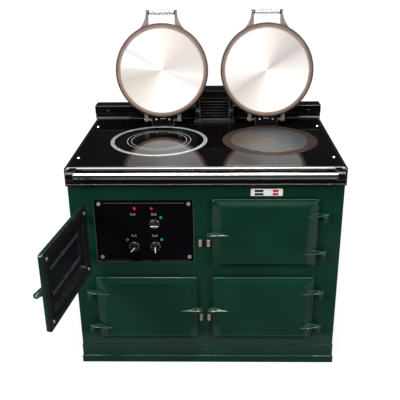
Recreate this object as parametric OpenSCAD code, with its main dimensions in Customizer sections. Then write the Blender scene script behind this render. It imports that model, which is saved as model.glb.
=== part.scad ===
// Free-standing cast iron range cooker: enamelled body with four doors, a black top plate with a round
// glass hob and a round iron hotplate, and two round lids on rear hinges. Both lids and the upper left
// door stand open, as the cooker is seen. Millimetres, +Z up, the front faces -Y, and the origin is on
// the floor under the middle of the body.

/* [Body] */
// Width of the cast body
body_w = 986; // [960:2:1180]
// Depth of the body, front plate to back panel
body_d = 664; // [650:2:800]
// Height of the hob surface above the floor
hob_h = 840; // [700:1:1020]
// Height of the plinth
plinth_h = 82; // [66:1:115]
// Height of the plinth's thick foot, up to its bead
plinth_foot_h = 30; // [15:1:45]
// How far the plinth's foot stands out from the body
plinth_foot_out = 5; // [3:0.5:12]
// How far the upper plinth stands out from the body
plinth_out = 2; // [1:0.5:4]
// Wall of the plinth
plinth_t = 14; // [10:1:20]
// Thickness of the base plate
base_t = 10; // [6:1:14]
// Thickness of the side and back panels
shell_t = 6; // [3:1:10]
// Thickness of the cast front plate
front_t = 12; // [8:1:16]

/* [Top plate] */
// Overhang of the top plate past each side of the body
plate_side = 0.5; // [0:0.5:10]
// Overhang of the top plate past the front of the body
plate_front = 34; // [26:1:45]
// Thickness of the top plate
plate_t = 12; // [10:1:16]
// Height of the plate's skirt and the front band, from the hob surface down
skirt_h = 70; // [55:1:90]
// Thickness of the skirt
skirt_t = 8; // [5:1:12]
// Thickness of the front band
band_t = 12; // [8:1:16]
// Radius of the plate's rolled edges
edge_r = 10; // [4:1:11]
// Radius of the plate's corners seen from above
plate_corner_r = 12; // [6:1:20]
// Height of the bead along the foot of the front band
bead_h = 7; // [4:1:12]
// How far the band's face lies behind its bead
bead_out = 2.5; // [1:0.5:4]
// Radius of the domed nuts on the plate
nut_r = 7.5; // [5:0.5:10]
// Distance of the domed nuts from the plate's side edges
nut_side = 33; // [24:1:40]
// Distance of the front domed nuts from the body's front face
nut_front = 70; // [40:1:90]
// Distance of the rear domed nuts from the upstand
nut_rear = 128; // [90:1:180]

/* [Rear upstand and vent] */
// Depth of the rear upstand
upstand_d = 70; // [50:1:80]
// Height of the rear upstand above the hob surface
upstand_h = 56; // [40:1:75]
// Height of the upstand's proud lip
lip_h = 38; // [20:1:44]
// How far the lip stands out
lip_out = 8; // [4:1:12]
// Radius of the cove at the upstand's foot
cove_r = 12; // [6:1:16]
// Vent's distance right of the body's middle
vent_x = 30; // [0:1:60]
// Width of the vent box
vent_w = 160; // [140:1:180]
// Width of the vent box's foot
vent_foot_w = 172; // [164:1:190]
// Height of the vent box above the hob surface
vent_h = 129; // [110:1:150]
// How far the vent box stands in front of the upstand's lip, at its foot
vent_front = 48; // [36:1:56]
// How far the vent box's front leans back over its height
vent_lean = 12; // [4:1:20]
// How far the vent's foot stands in front of the box
vent_foot_out = 24; // [10:1:26]
// Height of the vent's foot
vent_foot_h = 7; // [4:1:10]
// Wall of the vent box
vent_t = 5; // [3:1:8]
// Width of the grille
grille_w = 130; // [110:1:138]
// Height of the grille
grille_h = 90; // [70:1:96]
// Height of the grille's lower edge above the hob surface
grille_up = 9; // [8:1:14]
// Spacing of the louvres
louvre_pitch = 12; // [10:1:16]
// Thickness of a louvre
louvre_t = 2.5; // [2:0.5:3]
// Depth of a louvre
louvre_d = 13; // [10:1:15]

/* [Hobs] */
// Distance between the centres of the two hobs
hob_pitch = 433; // [424:1:450]
// Distance of the hobs' midpoint right of the body's middle
hob_x = 30.5; // [10:0.5:34]
// Distance of the hobs' centres behind the body's front face
hob_back = 277; // [260:1:290]
// Outer radius of the glass hob's trim ring
ring_r = 189; // [176:0.5:190]
// Width of the trim ring
ring_w = 16; // [10:1:20]
// Thickness of the trim ring and the glass
glass_t = 6; // [4:1:8]
// Outer radius of the iron hotplate
hotplate_r = 185; // [170:1:188]
// Radius of the hotplate's machined face
face_r = 151; // [140:1:158]
// Depth of the hotplate casting below its flange
hotplate_d = 34; // [20:1:45]
// Width of the ledge that carries each hob
ledge_w = 12; // [8:1:16]

/* [Lids] */
// Outer radius of a lid's rim
lid_r = 191; // [188.5:0.5:196]
// Height of a lid's rim
rim_h = 32; // [24:1:36]
// Width of the rim round the liner
rim_w = 18.5; // [14:0.5:24]
// Height of the whole lid over its dome
lid_h = 70; // [60:1:80]
// Distance from a hob's centre back to its lid hinge
lid_hinge_back = 203; // [202:0.5:214]
// Height of the lid hinge axis above the hob surface
lid_hinge_up = 26; // [24:0.5:30]
// Angle between a closed lid and an open one
lid_open = 102; // [95:1:106]
// Distance of the hinge lugs from the lid's middle
lug_x = 69; // [60:1:76]
// Thickness of a hinge lug
lug_t = 14; // [10:1:16]
// Radius of a hinge lug's end
lug_r = 9; // [8:0.5:11]
// Radius of the lid hinge pins
lid_pin_r = 5; // [4:0.5:6]
// Half width of the hinge block on the top plate
block_w = 46; // [40:1:50]
// Depth of the hinge block behind its pin
block_back = 26; // [18:1:34]
// Distance of the block's studs from its middle
stud_x = 32; // [24:1:36]
// Radius of the block's nuts
stud_r = 6; // [4:0.5:8]

/* [Lid handles] */
// Distance from the lid's centre to the grip
grip_reach = 234; // [228:1:244]
// Height of the grip above the lid's rim face
grip_lift = 24; // [20:1:30]
// Distance from the lid's middle to a post's inner face
post_in = 54.5; // [48:0.5:60]
// Thickness of a post at the grip
post_t = 9; // [7:0.5:11]
// Distance from the lid's middle to an arm's outer edge where it meets the rim
arm_foot = 87; // [80:1:96]
// Depth of an arm across the lid's face
arm_d = 16; // [12:1:20]
// Radius of the grip's rod
grip_rod_r = 4; // [3:0.5:4.5]
// Number of curls in a coil grip
curls = 9; // [7:1:12]
// Radius of the coil's wire
wire_r = 1.8; // [1.5:0.1:2]
// Radius of the coil's centre line at its ends
coil_end_r = 6.8; // [6.6:0.1:7.5]
// Radius of the coil's centre line at its middle
coil_mid_r = 9.8; // [8:0.1:10]
// Thickness of the socket at each end of the grip
socket_t = 4; // [3:0.5:6]
// Radius of the socket at each end of the grip
socket_r = 9; // [8.6:0.1:11]

/* [Handrail] */
// Radius of the handrail
rail_r = 12; // [9:0.5:15]
// Distance of the handrail's middle in front of the band
rail_out = 54; // [44:1:66]
// Distance of the handrail's middle below the hob surface
rail_down = 11; // [8:1:20]
// Width of a handrail bracket
bracket_w = 20; // [14:1:26]
// Distance of a bracket's outer face from the band's end
bracket_in = 30; // [16:1:50]
// Wall of a bracket round the rail
bracket_wall = 6; // [4:1:9]

/* [Doors] */
// Gap between the two columns of doors
mullion_w = 56; // [48:1:70]
// Distance of the mullion's middle right of the body's middle
mullion_x = -6; // [-10:1:0]
// Mean distance from a door's outer edge to the body's side
door_side = 82; // [70:1:100]
// Distance from the plinth to the lower doors
door_low = 38; // [30:1:60]
// Distance between the lower and the upper doors
door_mid = 46; // [36:1:60]
// Distance from the upper doors to the front band
door_top = 57; // [50:1:70]
// Depth of a door at its edge
door_edge = 17; // [15:1:24]
// Depth of a door at its crowned face
door_crown = 34; // [32:1:44]
// Width of the slope beside the crowned face
crown_side = 46; // [30:1:60]
// Height of the slope above and below the crowned face
crown_end = 32; // [20:1:45]
// Radius of a door's corners
door_r = 10; // [5:1:16]
// Gap between a closed door and the front plate
door_gap = 0.3; // [0.2:0.1:1]
// Angle at which the upper left door stands open
door_open = 98; // [60:1:120]
// Width of the casting's rim round the liner
door_rim = 11; // [8:1:16]
// Thickness of the liner's flange
liner_t = 7; // [5:1:9]
// Width of the liner's flange
flange_w = 30; // [22:1:40]
// Depth of the liner's dished panel
dish = 20; // [18:1:22]
// Thickness of the dished panel
dish_t = 2.5; // [2:0.5:3]
// Height of the ribs across the dished panel
rib_h = 4; // [2:0.5:5]
// Width of the ribs across the dished panel
rib_w = 12; // [8:1:18]
// Distance of the ribs from the door's middle
rib_z = 46; // [36:1:52]

/* [Door hinges] */
// Distance of a hinge axis outside its door's edge
hinge_out = 24; // [22:1:34]
// Distance of a hinge axis in front of the front plate
hinge_proud = 25; // [22:1:32]
// Distance of a door's hinge arms from its middle
arm_z = 75; // [50:1:90]
// How far a hinge arm reaches over its door
arm_reach = 52; // [40:1:70]
// Radius of a hinge eye
eye_r = 9.5; // [8:0.5:12]
// Height of a door's hinge eye
eye_h = 15; // [10:1:18]
// Height of the bracket below a hinge eye
knuckle_h = 15; // [10:1:20]
// Radius of the door hinge pins
pin_r = 4; // [3:0.5:5]
// Radial running clearance of every pin and spindle
run_gap = 0.05; // [0.02:0.01:0.1]

/* [Door handles and catches] */
// Length of a door handle
handle_l = 88; // [70:1:100]
// How far a door handle stands past its door's edge
handle_over = 19; // [14:1:22]
// Height of a door handle at its thick end
handle_h = 22; // [16:1:28]
// Depth of a door handle in front of the front plate
handle_out = 42; // [38:1:66]
// Distance of a door handle's back in front of the front plate
handle_gap = 24; // [20:1:36]
// Radius of a door catch
catch_r = 6.2; // [5:0.1:8]
// Height of a door catch
catch_h = 29; // [22:1:34]
// Distance of the catches from the mullion's middle
catch_x = 15; // [11:1:18]
// Distance of a catch's middle below its door's middle
catch_down = 38; // [34:1:50]
// Distance of a catch's axis in front of the front plate
catch_proud = 13; // [10:1:16]

/* [Control panel] */
// Lap of the closed door over the control opening
panel_lap = 9.5; // [8:0.5:14]
// Depth of the control panel behind the front plate's face
panel_recess = 11; // [9:0.5:11.5]
// Thickness of the control panel
panel_t = 3; // [2:0.5:4]
// Width of the panel's trim frame
trim_w = 7; // [5:0.5:9]
// Radius of a panel screw's head
screw_r = 7; // [5:0.5:8]
// Distance of the panel screws from the opening's edges
screw_in = 19; // [14:0.5:20]
// Radius of a knob's skirt
skirt_r = 19; // [15:0.5:22]
// Height of a knob over the panel
knob_h = 23; // [18:1:24]
// Thickness of a knob's skirt
knob_skirt_t = 4; // [3:0.5:6]
// Width of a knob's grip bar
bar_w = 11; // [8:1:14]
// Radius of the knob spindles
spindle_r = 3; // [2.5:0.5:4]
// Side of a regulator's body
regulator_w = 44; // [36:1:50]
// Depth of a regulator's body
regulator_d = 34; // [26:1:44]
// Radius of a neon lamp
neon_r = 5; // [3:0.5:6]
// Thickness of the heat indicator
indicator_t = 4; // [2:1:6]
// Width of the heat indicator
indicator_w = 114; // [90:1:130]
// Height of the heat indicator
indicator_h = 27; // [20:1:34]

/* [Ovens] */
// Lap of a closed door over its oven's mouth
oven_lap = 18; // [15:1:26]
// Wall of an oven casting
oven_t = 8; // [5:1:12]
// Depth of an oven behind the front plate
oven_d = 480; // [420:5:520]
// Height of the shelf runners above the oven floor
runner_z = 84; // [60:1:110]
// Width of a shelf runner
runner_w = 10; // [6:1:14]
// Thickness of a shelf runner
runner_t = 6; // [4:1:8]
// Radius of a shelf's bars
bar_r = 2.5; // [2:0.5:3.5]
// Number of bars in a shelf
bars = 13; // [9:1:17]
// Gap round a shelf
shelf_gap = 2; // [1:0.5:4]
// Radius of the heating elements
element_r = 5; // [4:0.5:7]
// Clearance round the insulation
pad_gap = 4; // [2:1:10]

/* [Supply] */
// Radius of the cable gland's bore
gland_bore_r = 8; // [5:0.5:11]
// Radius of the cable gland
gland_r = 15; // [13:0.5:20]
// How far the cable gland stands out behind the body
gland_out = 22; // [12:1:30]
// Width of the terminal box
box_w = 120; // [90:1:150]
// Depth of the terminal box
box_d = 50; // [40:1:60]
// Height of the terminal box
box_h = 80; // [60:1:100]
// Wall of the terminal box
box_t = 3; // [2:0.5:5]

/* [Hidden] */
$fn = 72;
HULL_FN = 32;
TIP_FN = 16;

// Overlap that makes a cut run clean past a face
eps = 1;
// Gap between two neighbouring pieces that don't press on each other
fit_gap = 0.3;

// Colours
enamel_green = [0.06, 0.19, 0.14];
enamel_black = [0.09, 0.08, 0.08];
iron_grey = [0.40, 0.37, 0.34];
liner_black = [0.11, 0.11, 0.12];
nickel = [0.80, 0.78, 0.75];
steel = [0.62, 0.62, 0.63];
polished = [0.88, 0.87, 0.85];
glass_black = [0.05, 0.05, 0.05];
lamp_red = [0.90, 0.05, 0.08];
lamp_green = [0.05, 0.60, 0.35];
pale = [0.93, 0.92, 0.90];
wool = [0.85, 0.80, 0.66];

// Main planes
front_y = -body_d / 2;
back_y = body_d / 2;
band_z = hob_h - skirt_h;
plate_w = body_w + 2 * plate_side;
plate_y = front_y - plate_front;
plate_d = back_y - plate_y;
plate_under = hob_h - plate_t;

// Doors
door_w = (body_w - mullion_w - 2 * door_side) / 2;
door_h = (band_z - plinth_h - door_low - door_mid - door_top) / 2;
door_x_right = mullion_x + (mullion_w + door_w) / 2;
door_x_left = mullion_x - (mullion_w + door_w) / 2;
door_z_low = plinth_h + door_low + door_h / 2;
door_z_up = door_z_low + door_h + door_mid;
door_y = front_y - door_gap;
hinge_x = door_w / 2 + hinge_out;
hinge_y = -hinge_proud + door_gap;
hinge_seat = eye_h / 2 + fit_gap;
arm_z_fit = min(arm_z, door_h / 2 - eye_h);
rib_z_fit = min(rib_z, door_h / 2 - door_rim - flange_w - rib_w);

// Openings in the front plate
mouth_w = door_w - 2 * oven_lap;
mouth_h = door_h - 2 * oven_lap;
recess_w = door_w - 2 * panel_lap;
recess_h = door_h - 2 * panel_lap;
mouth_r = 5;
panel_y = front_y + panel_recess;

// Wall of the handrail's tube
rail_wall = 2;
// Height of a plate nut's dome as a share of its radius
nut_rise = 0.55;
// Step between the cable gland's flange and its shank
gland_step = 3;
gland_shank_r = gland_r - gland_step;
// The terminal box lies this far in from the body's right side and above the plinth
box_from_side = 155;
box_from_plinth = 70;
box_x = body_w / 2 - box_from_side;
box_z = plinth_h + box_from_plinth;

// Controls: [right of the panel's middle, above the panel's middle, turn of the pointer from upright]
knob_gap = 0.6;
KNOB_HOTPLATE = [37, 27, 90];
KNOB_OVEN = [-42, -65, 48];
KNOB_HOB = [38, -65, 0];
RED_LAMPS = [[-34, 90], [28, 90]];
GREEN_LAMPS = [[61, 54], [-66, -36], [61, -36]];
// The panel height that the controls' heights are drawn for
control_space = 254.5;
control_fit = min(1, recess_h / control_space);

// Hobs and lids
hob_y = front_y + hob_back;
hob_x_left = hob_x - hob_pitch / 2;
hob_x_right = hob_x + hob_pitch / 2;
lid_axis_y = hob_y + lid_hinge_back;
lid_axis_z = hob_h + lid_hinge_up;
// A closed lid's rim rests this far above the hob surface
lid_seat_gap = 1.2;
lid_seat_z = hob_h + lid_seat_gap;
liner_r = lid_r - rim_w;
ring_proud = 0.6;
face_proud = 1.4;
rim_wall = 7;
liner_in = 3;
liner_plate_t = 4;
// Width and thickness of the rim's ledge behind the liner
liner_lap = 4;
rim_ledge_t = 4;
liner_seat_z = liner_in + liner_plate_t + fit_gap;
pad_t = 20;
dome_t = 1.5;
block_r = lug_r + 1;

// Handrail
rail_y = plate_y - rail_out;
rail_z = hob_h - rail_down;
rail_x = plate_w / 2 - bracket_in;

// Ovens
oven_y = front_y + front_t;
runner_z_fit = min(runner_z, mouth_h / 2);
// The oven elements keep this far in from the oven's side walls, and back from its front
element_in = 40;
element_start = 30;
element_wave = mouth_w / 2 - element_in;

// Rectangle with round corners, centred
module round_rect(w, h, r) {
    union() {
        square([w - 2 * r, h], center = true);
        square([w, h - 2 * r], center = true);
        for (sx = [-1, 1], sy = [-1, 1])
            translate([sx * (w / 2 - r), sy * (h / 2 - r)])
                circle(r = r);
    }
}

// Slab with round corners that stands upright: its back is at y = 0 and it reaches depth towards -Y
module upright_slab(w, h, r, depth) {
    rotate([90, 0, 0])
        linear_extrude(height = depth)
            round_rect(w, h, r);
}

// Outline in the Y-Z plane, extruded along X from x0 over a length
module along_x(x0, length) {
    translate([x0, 0, 0])
        rotate([90, 0, 90])
            linear_extrude(height = length)
                children();
}

// ---- body ----

module base_plate() {
    inset = plinth_t - plinth_out + fit_gap;
    color(enamel_black)
        translate([inset - body_w / 2, front_y + inset, 0])
            cube([body_w - 2 * inset, body_d - 2 * inset, base_t]);
}

// A box round the body that is open above and below
module plinth_ring(out, z0, z1) {
    wall = plinth_t - plinth_out;
    translate([-body_w / 2 - out, front_y - out, z0])
        difference() {
            cube([body_w + 2 * out, body_d + 2 * out, z1 - z0]);
            translate([out + wall, out + wall, -eps])
                cube([body_w - 2 * wall, body_d - 2 * wall, z1 - z0 + 2 * eps]);
        }
}

module plinth() {
    bead_r = plinth_foot_out - plinth_out;
    color(enamel_green)
        difference() {
            union() {
                plinth_ring(plinth_foot_out, 0, plinth_foot_h);
                plinth_ring(plinth_out, plinth_foot_h, plinth_h);
            }
            // round shoulder along the top of the foot, at the front and at both sides
            translate([0, front_y - plinth_foot_out, plinth_foot_h])
                rotate([0, 90, 0])
                    shoulder_cut(body_w + 4 * plinth_foot_out, bead_r);
            for (s = [-1, 1])
                translate([s * (body_w / 2 + plinth_foot_out), 0, plinth_foot_h])
                    rotate([0, 90, s * 90])
                        shoulder_cut(body_d + 4 * plinth_foot_out, bead_r);
        }
}

// What a round shoulder of radius r takes off a square edge that lies along the local Z axis
module shoulder_cut(length, r) {
    linear_extrude(height = length, center = true)
        edge_cut(r);
}

module front_opening(x, z, w, h) {
    translate([x, oven_y + eps, z])
        upright_slab(w, h, mouth_r, front_t + 2 * eps);
}

module front_plate() {
    color(enamel_green)
        difference() {
            translate([-body_w / 2, front_y, plinth_h])
                cube([body_w, front_t, band_z - plinth_h]);
            front_opening(door_x_left, door_z_up, recess_w, recess_h);
            front_opening(door_x_left, door_z_low, mouth_w, mouth_h);
            front_opening(door_x_right, door_z_up, mouth_w, mouth_h);
            front_opening(door_x_right, door_z_low, mouth_w, mouth_h);
        }
}

module side_panel(side) {
    color(enamel_green)
        translate([side > 0 ? body_w / 2 - shell_t : -body_w / 2, oven_y, plinth_h])
            cube([shell_t, body_d - front_t, band_z - plinth_h]);
}

module back_panel() {
    color(enamel_black)
        difference() {
            translate([shell_t - body_w / 2, back_y - shell_t, plinth_h])
                cube([body_w - 2 * shell_t, shell_t, band_z - plinth_h]);
            translate([box_x, back_y - shell_t - eps, box_z])
                rotate([-90, 0, 0])
                    cylinder(r = gland_shank_r + run_gap, h = shell_t + 2 * eps);
        }
}

// ---- top plate ----

module plate_outline() {
    translate([0, plate_y + plate_d / 2])
        round_rect(plate_w, plate_d, plate_corner_r);
}

// The plate's solid outside, with a rolled edge at the front and at both sides
module plate_block() {
    intersection() {
        translate([0, 0, band_z])
            linear_extrude(height = skirt_h)
                plate_outline();
        along_x(-plate_w / 2 - eps, plate_w + 2 * eps)
            difference() {
                translate([plate_y, band_z])
                    square([plate_d, skirt_h]);
                translate([plate_y, hob_h])
                    mirror([0, 1])
                        edge_cut(edge_r);
            }
        translate([0, back_y + eps, 0])
            rotate([90, 0, 0])
                linear_extrude(height = plate_d + 2 * eps)
                    difference() {
                        translate([-plate_w / 2, band_z])
                            square([plate_w, skirt_h]);
                        for (s = [0, 1])
                            mirror([s, 0])
                                translate([-plate_w / 2, hob_h])
                                    mirror([0, 1])
                                        edge_cut(edge_r);
                    }
    }
}

// The corner that a round edge of radius r leaves out
module edge_cut(r) {
    difference() {
        translate([-eps, -eps])
            square(r + eps);
        translate([r, r])
            circle(r = r);
    }
}

// A seat for a round hob: a rebate to lie in and a smaller hole right through
module hob_seat(x, r, depth) {
    translate([x, hob_y, hob_h - depth])
        cylinder(r = r + fit_gap, h = depth + eps);
    translate([x, hob_y, plate_under - eps])
        cylinder(r = r - ledge_w, h = plate_t + 2 * eps);
}

module top_plate() {
    color(enamel_black)
        difference() {
            plate_block();
            // the hollow underside, open at the front for the band
            translate([skirt_t - plate_w / 2, plate_y - eps, band_z - eps])
                cube([plate_w - 2 * skirt_t, plate_d - skirt_t + eps, skirt_h - plate_t + eps]);
            translate([-plate_w / 2 - eps, plate_y - eps, band_z - eps])
                cube([plate_w + 2 * eps, band_t + fit_gap + eps, skirt_h - plate_t + eps]);
            hob_seat(hob_x_left, ring_r, glass_t);
            hob_seat(hob_x_right, hotplate_r, hotplate_flange());
            plate_nut_places()
                translate([0, 0, -plate_t - eps])
                    cylinder(r = nut_r / 2 + run_gap, h = plate_t + 2 * eps);
        }
}

function hotplate_flange() = glass_t + ring_proud;

module front_band() {
    band_h = skirt_h - plate_t - fit_gap;
    soffit_t = 6;
    soffit_w = plate_w - 2 * skirt_t - 2 * fit_gap;
    color(enamel_black)
        union() {
            intersection() {
                along_x(-plate_w / 2, plate_w)
                    translate([plate_y, band_z])
                        difference() {
                            square([band_t, band_h]);
                            translate([-eps, bead_h])
                                square([bead_out + eps, band_h - bead_h + eps]);
                            edge_cut(bead_out);
                        }
                translate([0, 0, band_z - eps])
                    linear_extrude(height = skirt_h)
                        plate_outline();
            }
            // the soffit runs back from the band's foot and rests on the front plate
            translate([-soffit_w / 2, plate_y + band_t - eps, band_z])
                cube([soffit_w, plate_front - band_t + front_t + eps, soffit_t]);
        }
}

module plate_nut_places() {
    nx = plate_w / 2 - nut_side;
    for (p = [[-nx, front_y + nut_front], [nx, front_y + nut_front],
              [-nx, back_y - upstand_d - nut_rear], [nx, back_y - upstand_d - nut_rear]])
        translate([p[0], p[1], hob_h])
            children();
}

module plate_nuts() {
    dome_h = nut_r * nut_rise;
    dome_r = (nut_r * nut_r + dome_h * dome_h) / (2 * dome_h);
    color(nickel)
        plate_nut_places()
            union() {
                intersection() {
                    translate([0, 0, dome_h - dome_r])
                        sphere(r = dome_r);
                    cylinder(r = nut_r + eps, h = dome_h + eps);
                }
                translate([0, 0, -plate_t])
                    cylinder(r = nut_r / 2, h = plate_t + eps / 2);
            }
}

// ---- rear upstand and vent ----

module upstand_outline() {
    lip_y = back_y - upstand_d;
    web_y = lip_y + lip_out;
    translate([0, hob_h])
        difference() {
            union() {
                translate([web_y, 0])
                    square([back_y - web_y, upstand_h]);
                translate([lip_y, upstand_h - lip_h])
                    square([lip_out + eps, lip_h]);
                translate([web_y - cove_r, 0])
                    square([cove_r + eps, cove_r]);
            }
            translate([web_y - cove_r, cove_r])
                circle(r = cove_r);
            translate([lip_y, upstand_h])
                mirror([0, 1])
                    edge_cut(lip_out / 2);
        }
}

module rear_upstand() {
    gap_w = vent_w + 2 * fit_gap;
    color(enamel_black)
        difference() {
            along_x(-plate_w / 2, plate_w)
                upstand_outline();
            translate([vent_x - gap_w / 2, back_y - upstand_d - cove_r - eps, hob_h - eps])
                cube([gap_w, upstand_d + cove_r + 2 * eps, upstand_h + 2 * eps]);
        }
}

function vent_y() = back_y - upstand_d - vent_front;

module vent_outline(inset) {
    polygon([
        [vent_y() + inset, hob_h + (inset > 0 ? vent_foot_h : 0)],
        [vent_y() + vent_lean + inset, hob_h + vent_h - inset],
        [back_y - inset, hob_h + vent_h - inset],
        [back_y - inset, hob_h + (inset > 0 ? vent_foot_h : 0)]
    ]);
}

module flue_box() {
    color(enamel_black)
        difference() {
            union() {
                along_x(vent_x - vent_w / 2, vent_w)
                    vent_outline(0);
                // the foot that laps onto the top plate in front of the box
                translate([vent_x - vent_foot_w / 2, vent_y() - vent_foot_out, hob_h])
                    cube([vent_foot_w, vent_foot_out + vent_front - cove_r - fit_gap, vent_foot_h]);
            }
            along_x(vent_x - vent_w / 2 + vent_t, vent_w - 2 * vent_t)
                vent_outline(vent_t);
            // the window that the grille stands in
            translate([vent_x - grille_w / 2, vent_y() - eps, hob_h + grille_up])
                cube([grille_w, vent_t + vent_lean + 2 * eps, grille_h]);
        }
}

module vent_grille() {
    lean = atan(vent_lean / vent_h);
    tilt = 35;
    edge = vent_t;
    // height a tilted louvre takes up, and the gaps next to the window's upper and lower edges
    louvre_rise = louvre_d * sin(tilt) + louvre_t;
    gap = 1;
    rows = floor((grille_h - louvre_rise - 2 * gap) / louvre_pitch);
    color(enamel_black)
        translate([vent_x, vent_y() + grille_up * tan(lean) + fit_gap, hob_h + grille_up])
            rotate([-lean, 0, 0])
                union() {
                    difference() {
                        translate([fit_gap - grille_w / 2, 0, gap])
                            cube([grille_w - 2 * fit_gap, edge, grille_h - 2 * gap]);
                        translate([edge - grille_w / 2, -eps, edge])
                            cube([grille_w - 2 * edge, edge + 2 * eps, grille_h - 2 * edge]);
                    }
                    for (i = [0 : rows])
                        translate([0, edge / 2, louvre_rise / 2 + gap + i * louvre_pitch])
                            rotate([tilt, 0, 0])
                                cube([grille_w - 2 * edge + 2 * eps, louvre_d, louvre_t], center = true);
                }
}

// ---- handrail ----

module handrail() {
    color(polished)
        translate([-rail_x + fit_gap, rail_y, rail_z])
            rotate([0, 90, 0])
                difference() {
                    cylinder(r = rail_r, h = 2 * rail_x - 2 * fit_gap);
                    translate([0, 0, -eps])
                        cylinder(r = rail_r - rail_wall, h = 2 * rail_x + 2 * eps);
                }
}

module rail_bracket(side) {
    cup_r = rail_r + bracket_wall;
    foot_h = 2 * cup_r;
    // how much of the foot lies below the rail's middle
    foot_low = 0.62 * foot_h;
    arm_h = 1.4 * cup_r;
    clamp_r = 2.5;
    color(enamel_black)
        mirror([side > 0 ? 1 : 0, 0, 0])
            difference() {
                along_x(-rail_x - bracket_wall, bracket_w + bracket_wall)
                    translate([rail_y, rail_z])
                        union() {
                            circle(r = cup_r);
                            // the arm back to the band, and the foot on it
                            translate([0, -arm_h / 2])
                                square([rail_out + bead_out, arm_h]);
                            translate([rail_out + bead_out - bracket_wall, -foot_low])
                                square([bracket_wall, foot_h]);
                        }
                // the cup that takes the rail's end
                translate([-rail_x, rail_y, rail_z])
                    rotate([0, 90, 0])
                        cylinder(r = rail_r + fit_gap / 2, h = bracket_w + eps);
                // the clamp screw's hole
                translate([-rail_x + bracket_w / 2, rail_y, rail_z - cup_r - eps])
                    cylinder(r = clamp_r, h = bracket_wall + eps);
                // the bracket passes under the top plate's rolled edge
                translate([-rail_x - bracket_wall - eps, plate_y - bracket_wall - fit_gap,
                           plate_under - fit_gap])
                    cube([bracket_w + 2 * bracket_wall + 2 * eps, rail_out, foot_h]);
            }
}

// ---- hobs ----

// Thickness of the trim ring's floor, which the glass lies on
ring_floor = 1;

module hob_trim_ring() {
    color(polished)
        translate([hob_x_left, hob_y, hob_h - glass_t])
            rotate_extrude()
                difference() {
                    translate([ring_r - ring_w, 0])
                        square([ring_w, glass_t + ring_proud]);
                    // rebate for the glass
                    translate([ring_r - ring_w - eps, ring_floor])
                        square([ring_w / 2 + eps, glass_t + ring_proud]);
                }
}

module glass_hob() {
    color(glass_black)
        translate([hob_x_left, hob_y, hob_h - glass_t + ring_floor])
            cylinder(r = ring_r - ring_w / 2 - fit_gap, h = glass_t - ring_floor + ring_proud / 2);
}

module cast_hotplate() {
    flange = hotplate_flange();
    body_r = hotplate_r - ledge_w - fit_gap;
    face_slope = 2;
    color(iron_grey)
        translate([hob_x_right, hob_y, hob_h])
            rotate_extrude()
                polygon([
                    [0, -flange - hotplate_d],
                    [body_r, -flange - hotplate_d],
                    [body_r, -flange],
                    [hotplate_r, -flange],
                    [hotplate_r, -ring_proud],
                    [face_r + face_slope, 0],
                    [face_r, face_proud],
                    [0, face_proud]
                ]);
}

module ring_rod(r, bead) {
    rotate_extrude()
        translate([r, 0])
            circle(r = bead);
}

// A hairpin of round rod: two legs along Y and a bend at the back
module hairpin(half, length) {
    for (s = [-1, 1])
        translate([s * half, 0, 0])
            rotate([-90, 0, 0])
                cylinder(r = element_r, h = length);
    translate([0, length, 0])
        intersection() {
            ring_rod(half, element_r);
            translate([-2 * half, 0, -2 * element_r])
                cube([4 * half, 2 * half, 4 * element_r]);
        }
}

module heating_elements() {
    under_hotplate = hob_h - hotplate_flange() - hotplate_d - element_r;
    pan_r = ring_r - ring_w - 2 * ledge_w;
    pan_h = 18;
    pan_t = 3;
    length = oven_d - element_wave - 2 * element_start;
    color(steel)
        union() {
            translate([hob_x_right, hob_y, under_hotplate])
                for (k = [1, 2])
                    ring_rod(k * hotplate_r / 3, element_r);
            // radiant unit under the glass: a shallow pan
            translate([hob_x_left, hob_y, hob_h - glass_t + ring_floor - fit_gap - pan_h])
                difference() {
                    cylinder(r = pan_r, h = pan_h);
                    translate([0, 0, pan_t])
                        cylinder(r = pan_r - pan_t, h = pan_h);
                }
            for (p = [[door_x_left, door_z_low], [door_x_right, door_z_up], [door_x_right, door_z_low]])
                translate([p[0], oven_y + element_start, p[1] + mouth_h / 2 + oven_t + element_r])
                    hairpin(element_wave, length);
        }
}

// ---- lids ----

// Puts a lid that is drawn closed, with its rim's face at z = 0 and its middle at the origin, in its
// open place over a hob
module open_lid(x) {
    translate([x, lid_axis_y, lid_axis_z])
        rotate([-lid_open, 0, 0])
            translate([0, -lid_hinge_back, lid_seat_z - lid_axis_z])
                children();
}

module lid_arm() {
    top = grip_reach + socket_r;
    foot = lid_r - rim_w - liner_lap;
    // the arm's outer edge is an arc that leaves the post and runs out to the rim
    post_h = socket_r + eps;
    run = grip_reach - post_h - foot;
    flare = arm_foot - post_in - post_t;
    arc_r = (run * run + flare * flare) / (2 * flare);
    translate([0, 0, grip_lift - arm_d / 2])
        linear_extrude(height = arm_d)
            difference() {
                translate([post_in, -top])
                    square([arm_foot - post_in, top - foot]);
                translate([post_in + post_t + arc_r, post_h - grip_reach])
                    circle(r = arc_r, $fn = 4 * $fn);
                translate([post_in + post_t, -top - eps])
                    square([arm_foot, top - grip_reach + post_h + eps]);
                circle(r = lid_r - rim_wall);
            }
}

module hinge_lug() {
    rise = lid_axis_z - lid_seat_z;
    web_y = lid_r - rim_w;
    web_z = 4;
    // the web's lower edge meets the eye just off its foot
    foot_y = 0.42 * lug_r;
    foot_z = 0.9 * lug_r;
    translate([lug_x - lug_t / 2, 0, 0])
        rotate([90, 0, 90])
            linear_extrude(height = lug_t)
                union() {
                    translate([lid_hinge_back, rise])
                        circle(r = lug_r);
                    // web from the rim back to the eye
                    polygon([
                        [web_y, web_z],
                        [lid_hinge_back + foot_y, rise - foot_z],
                        [lid_hinge_back, rise + lug_r],
                        [web_y, rim_h - 1]
                    ]);
                }
}

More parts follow.
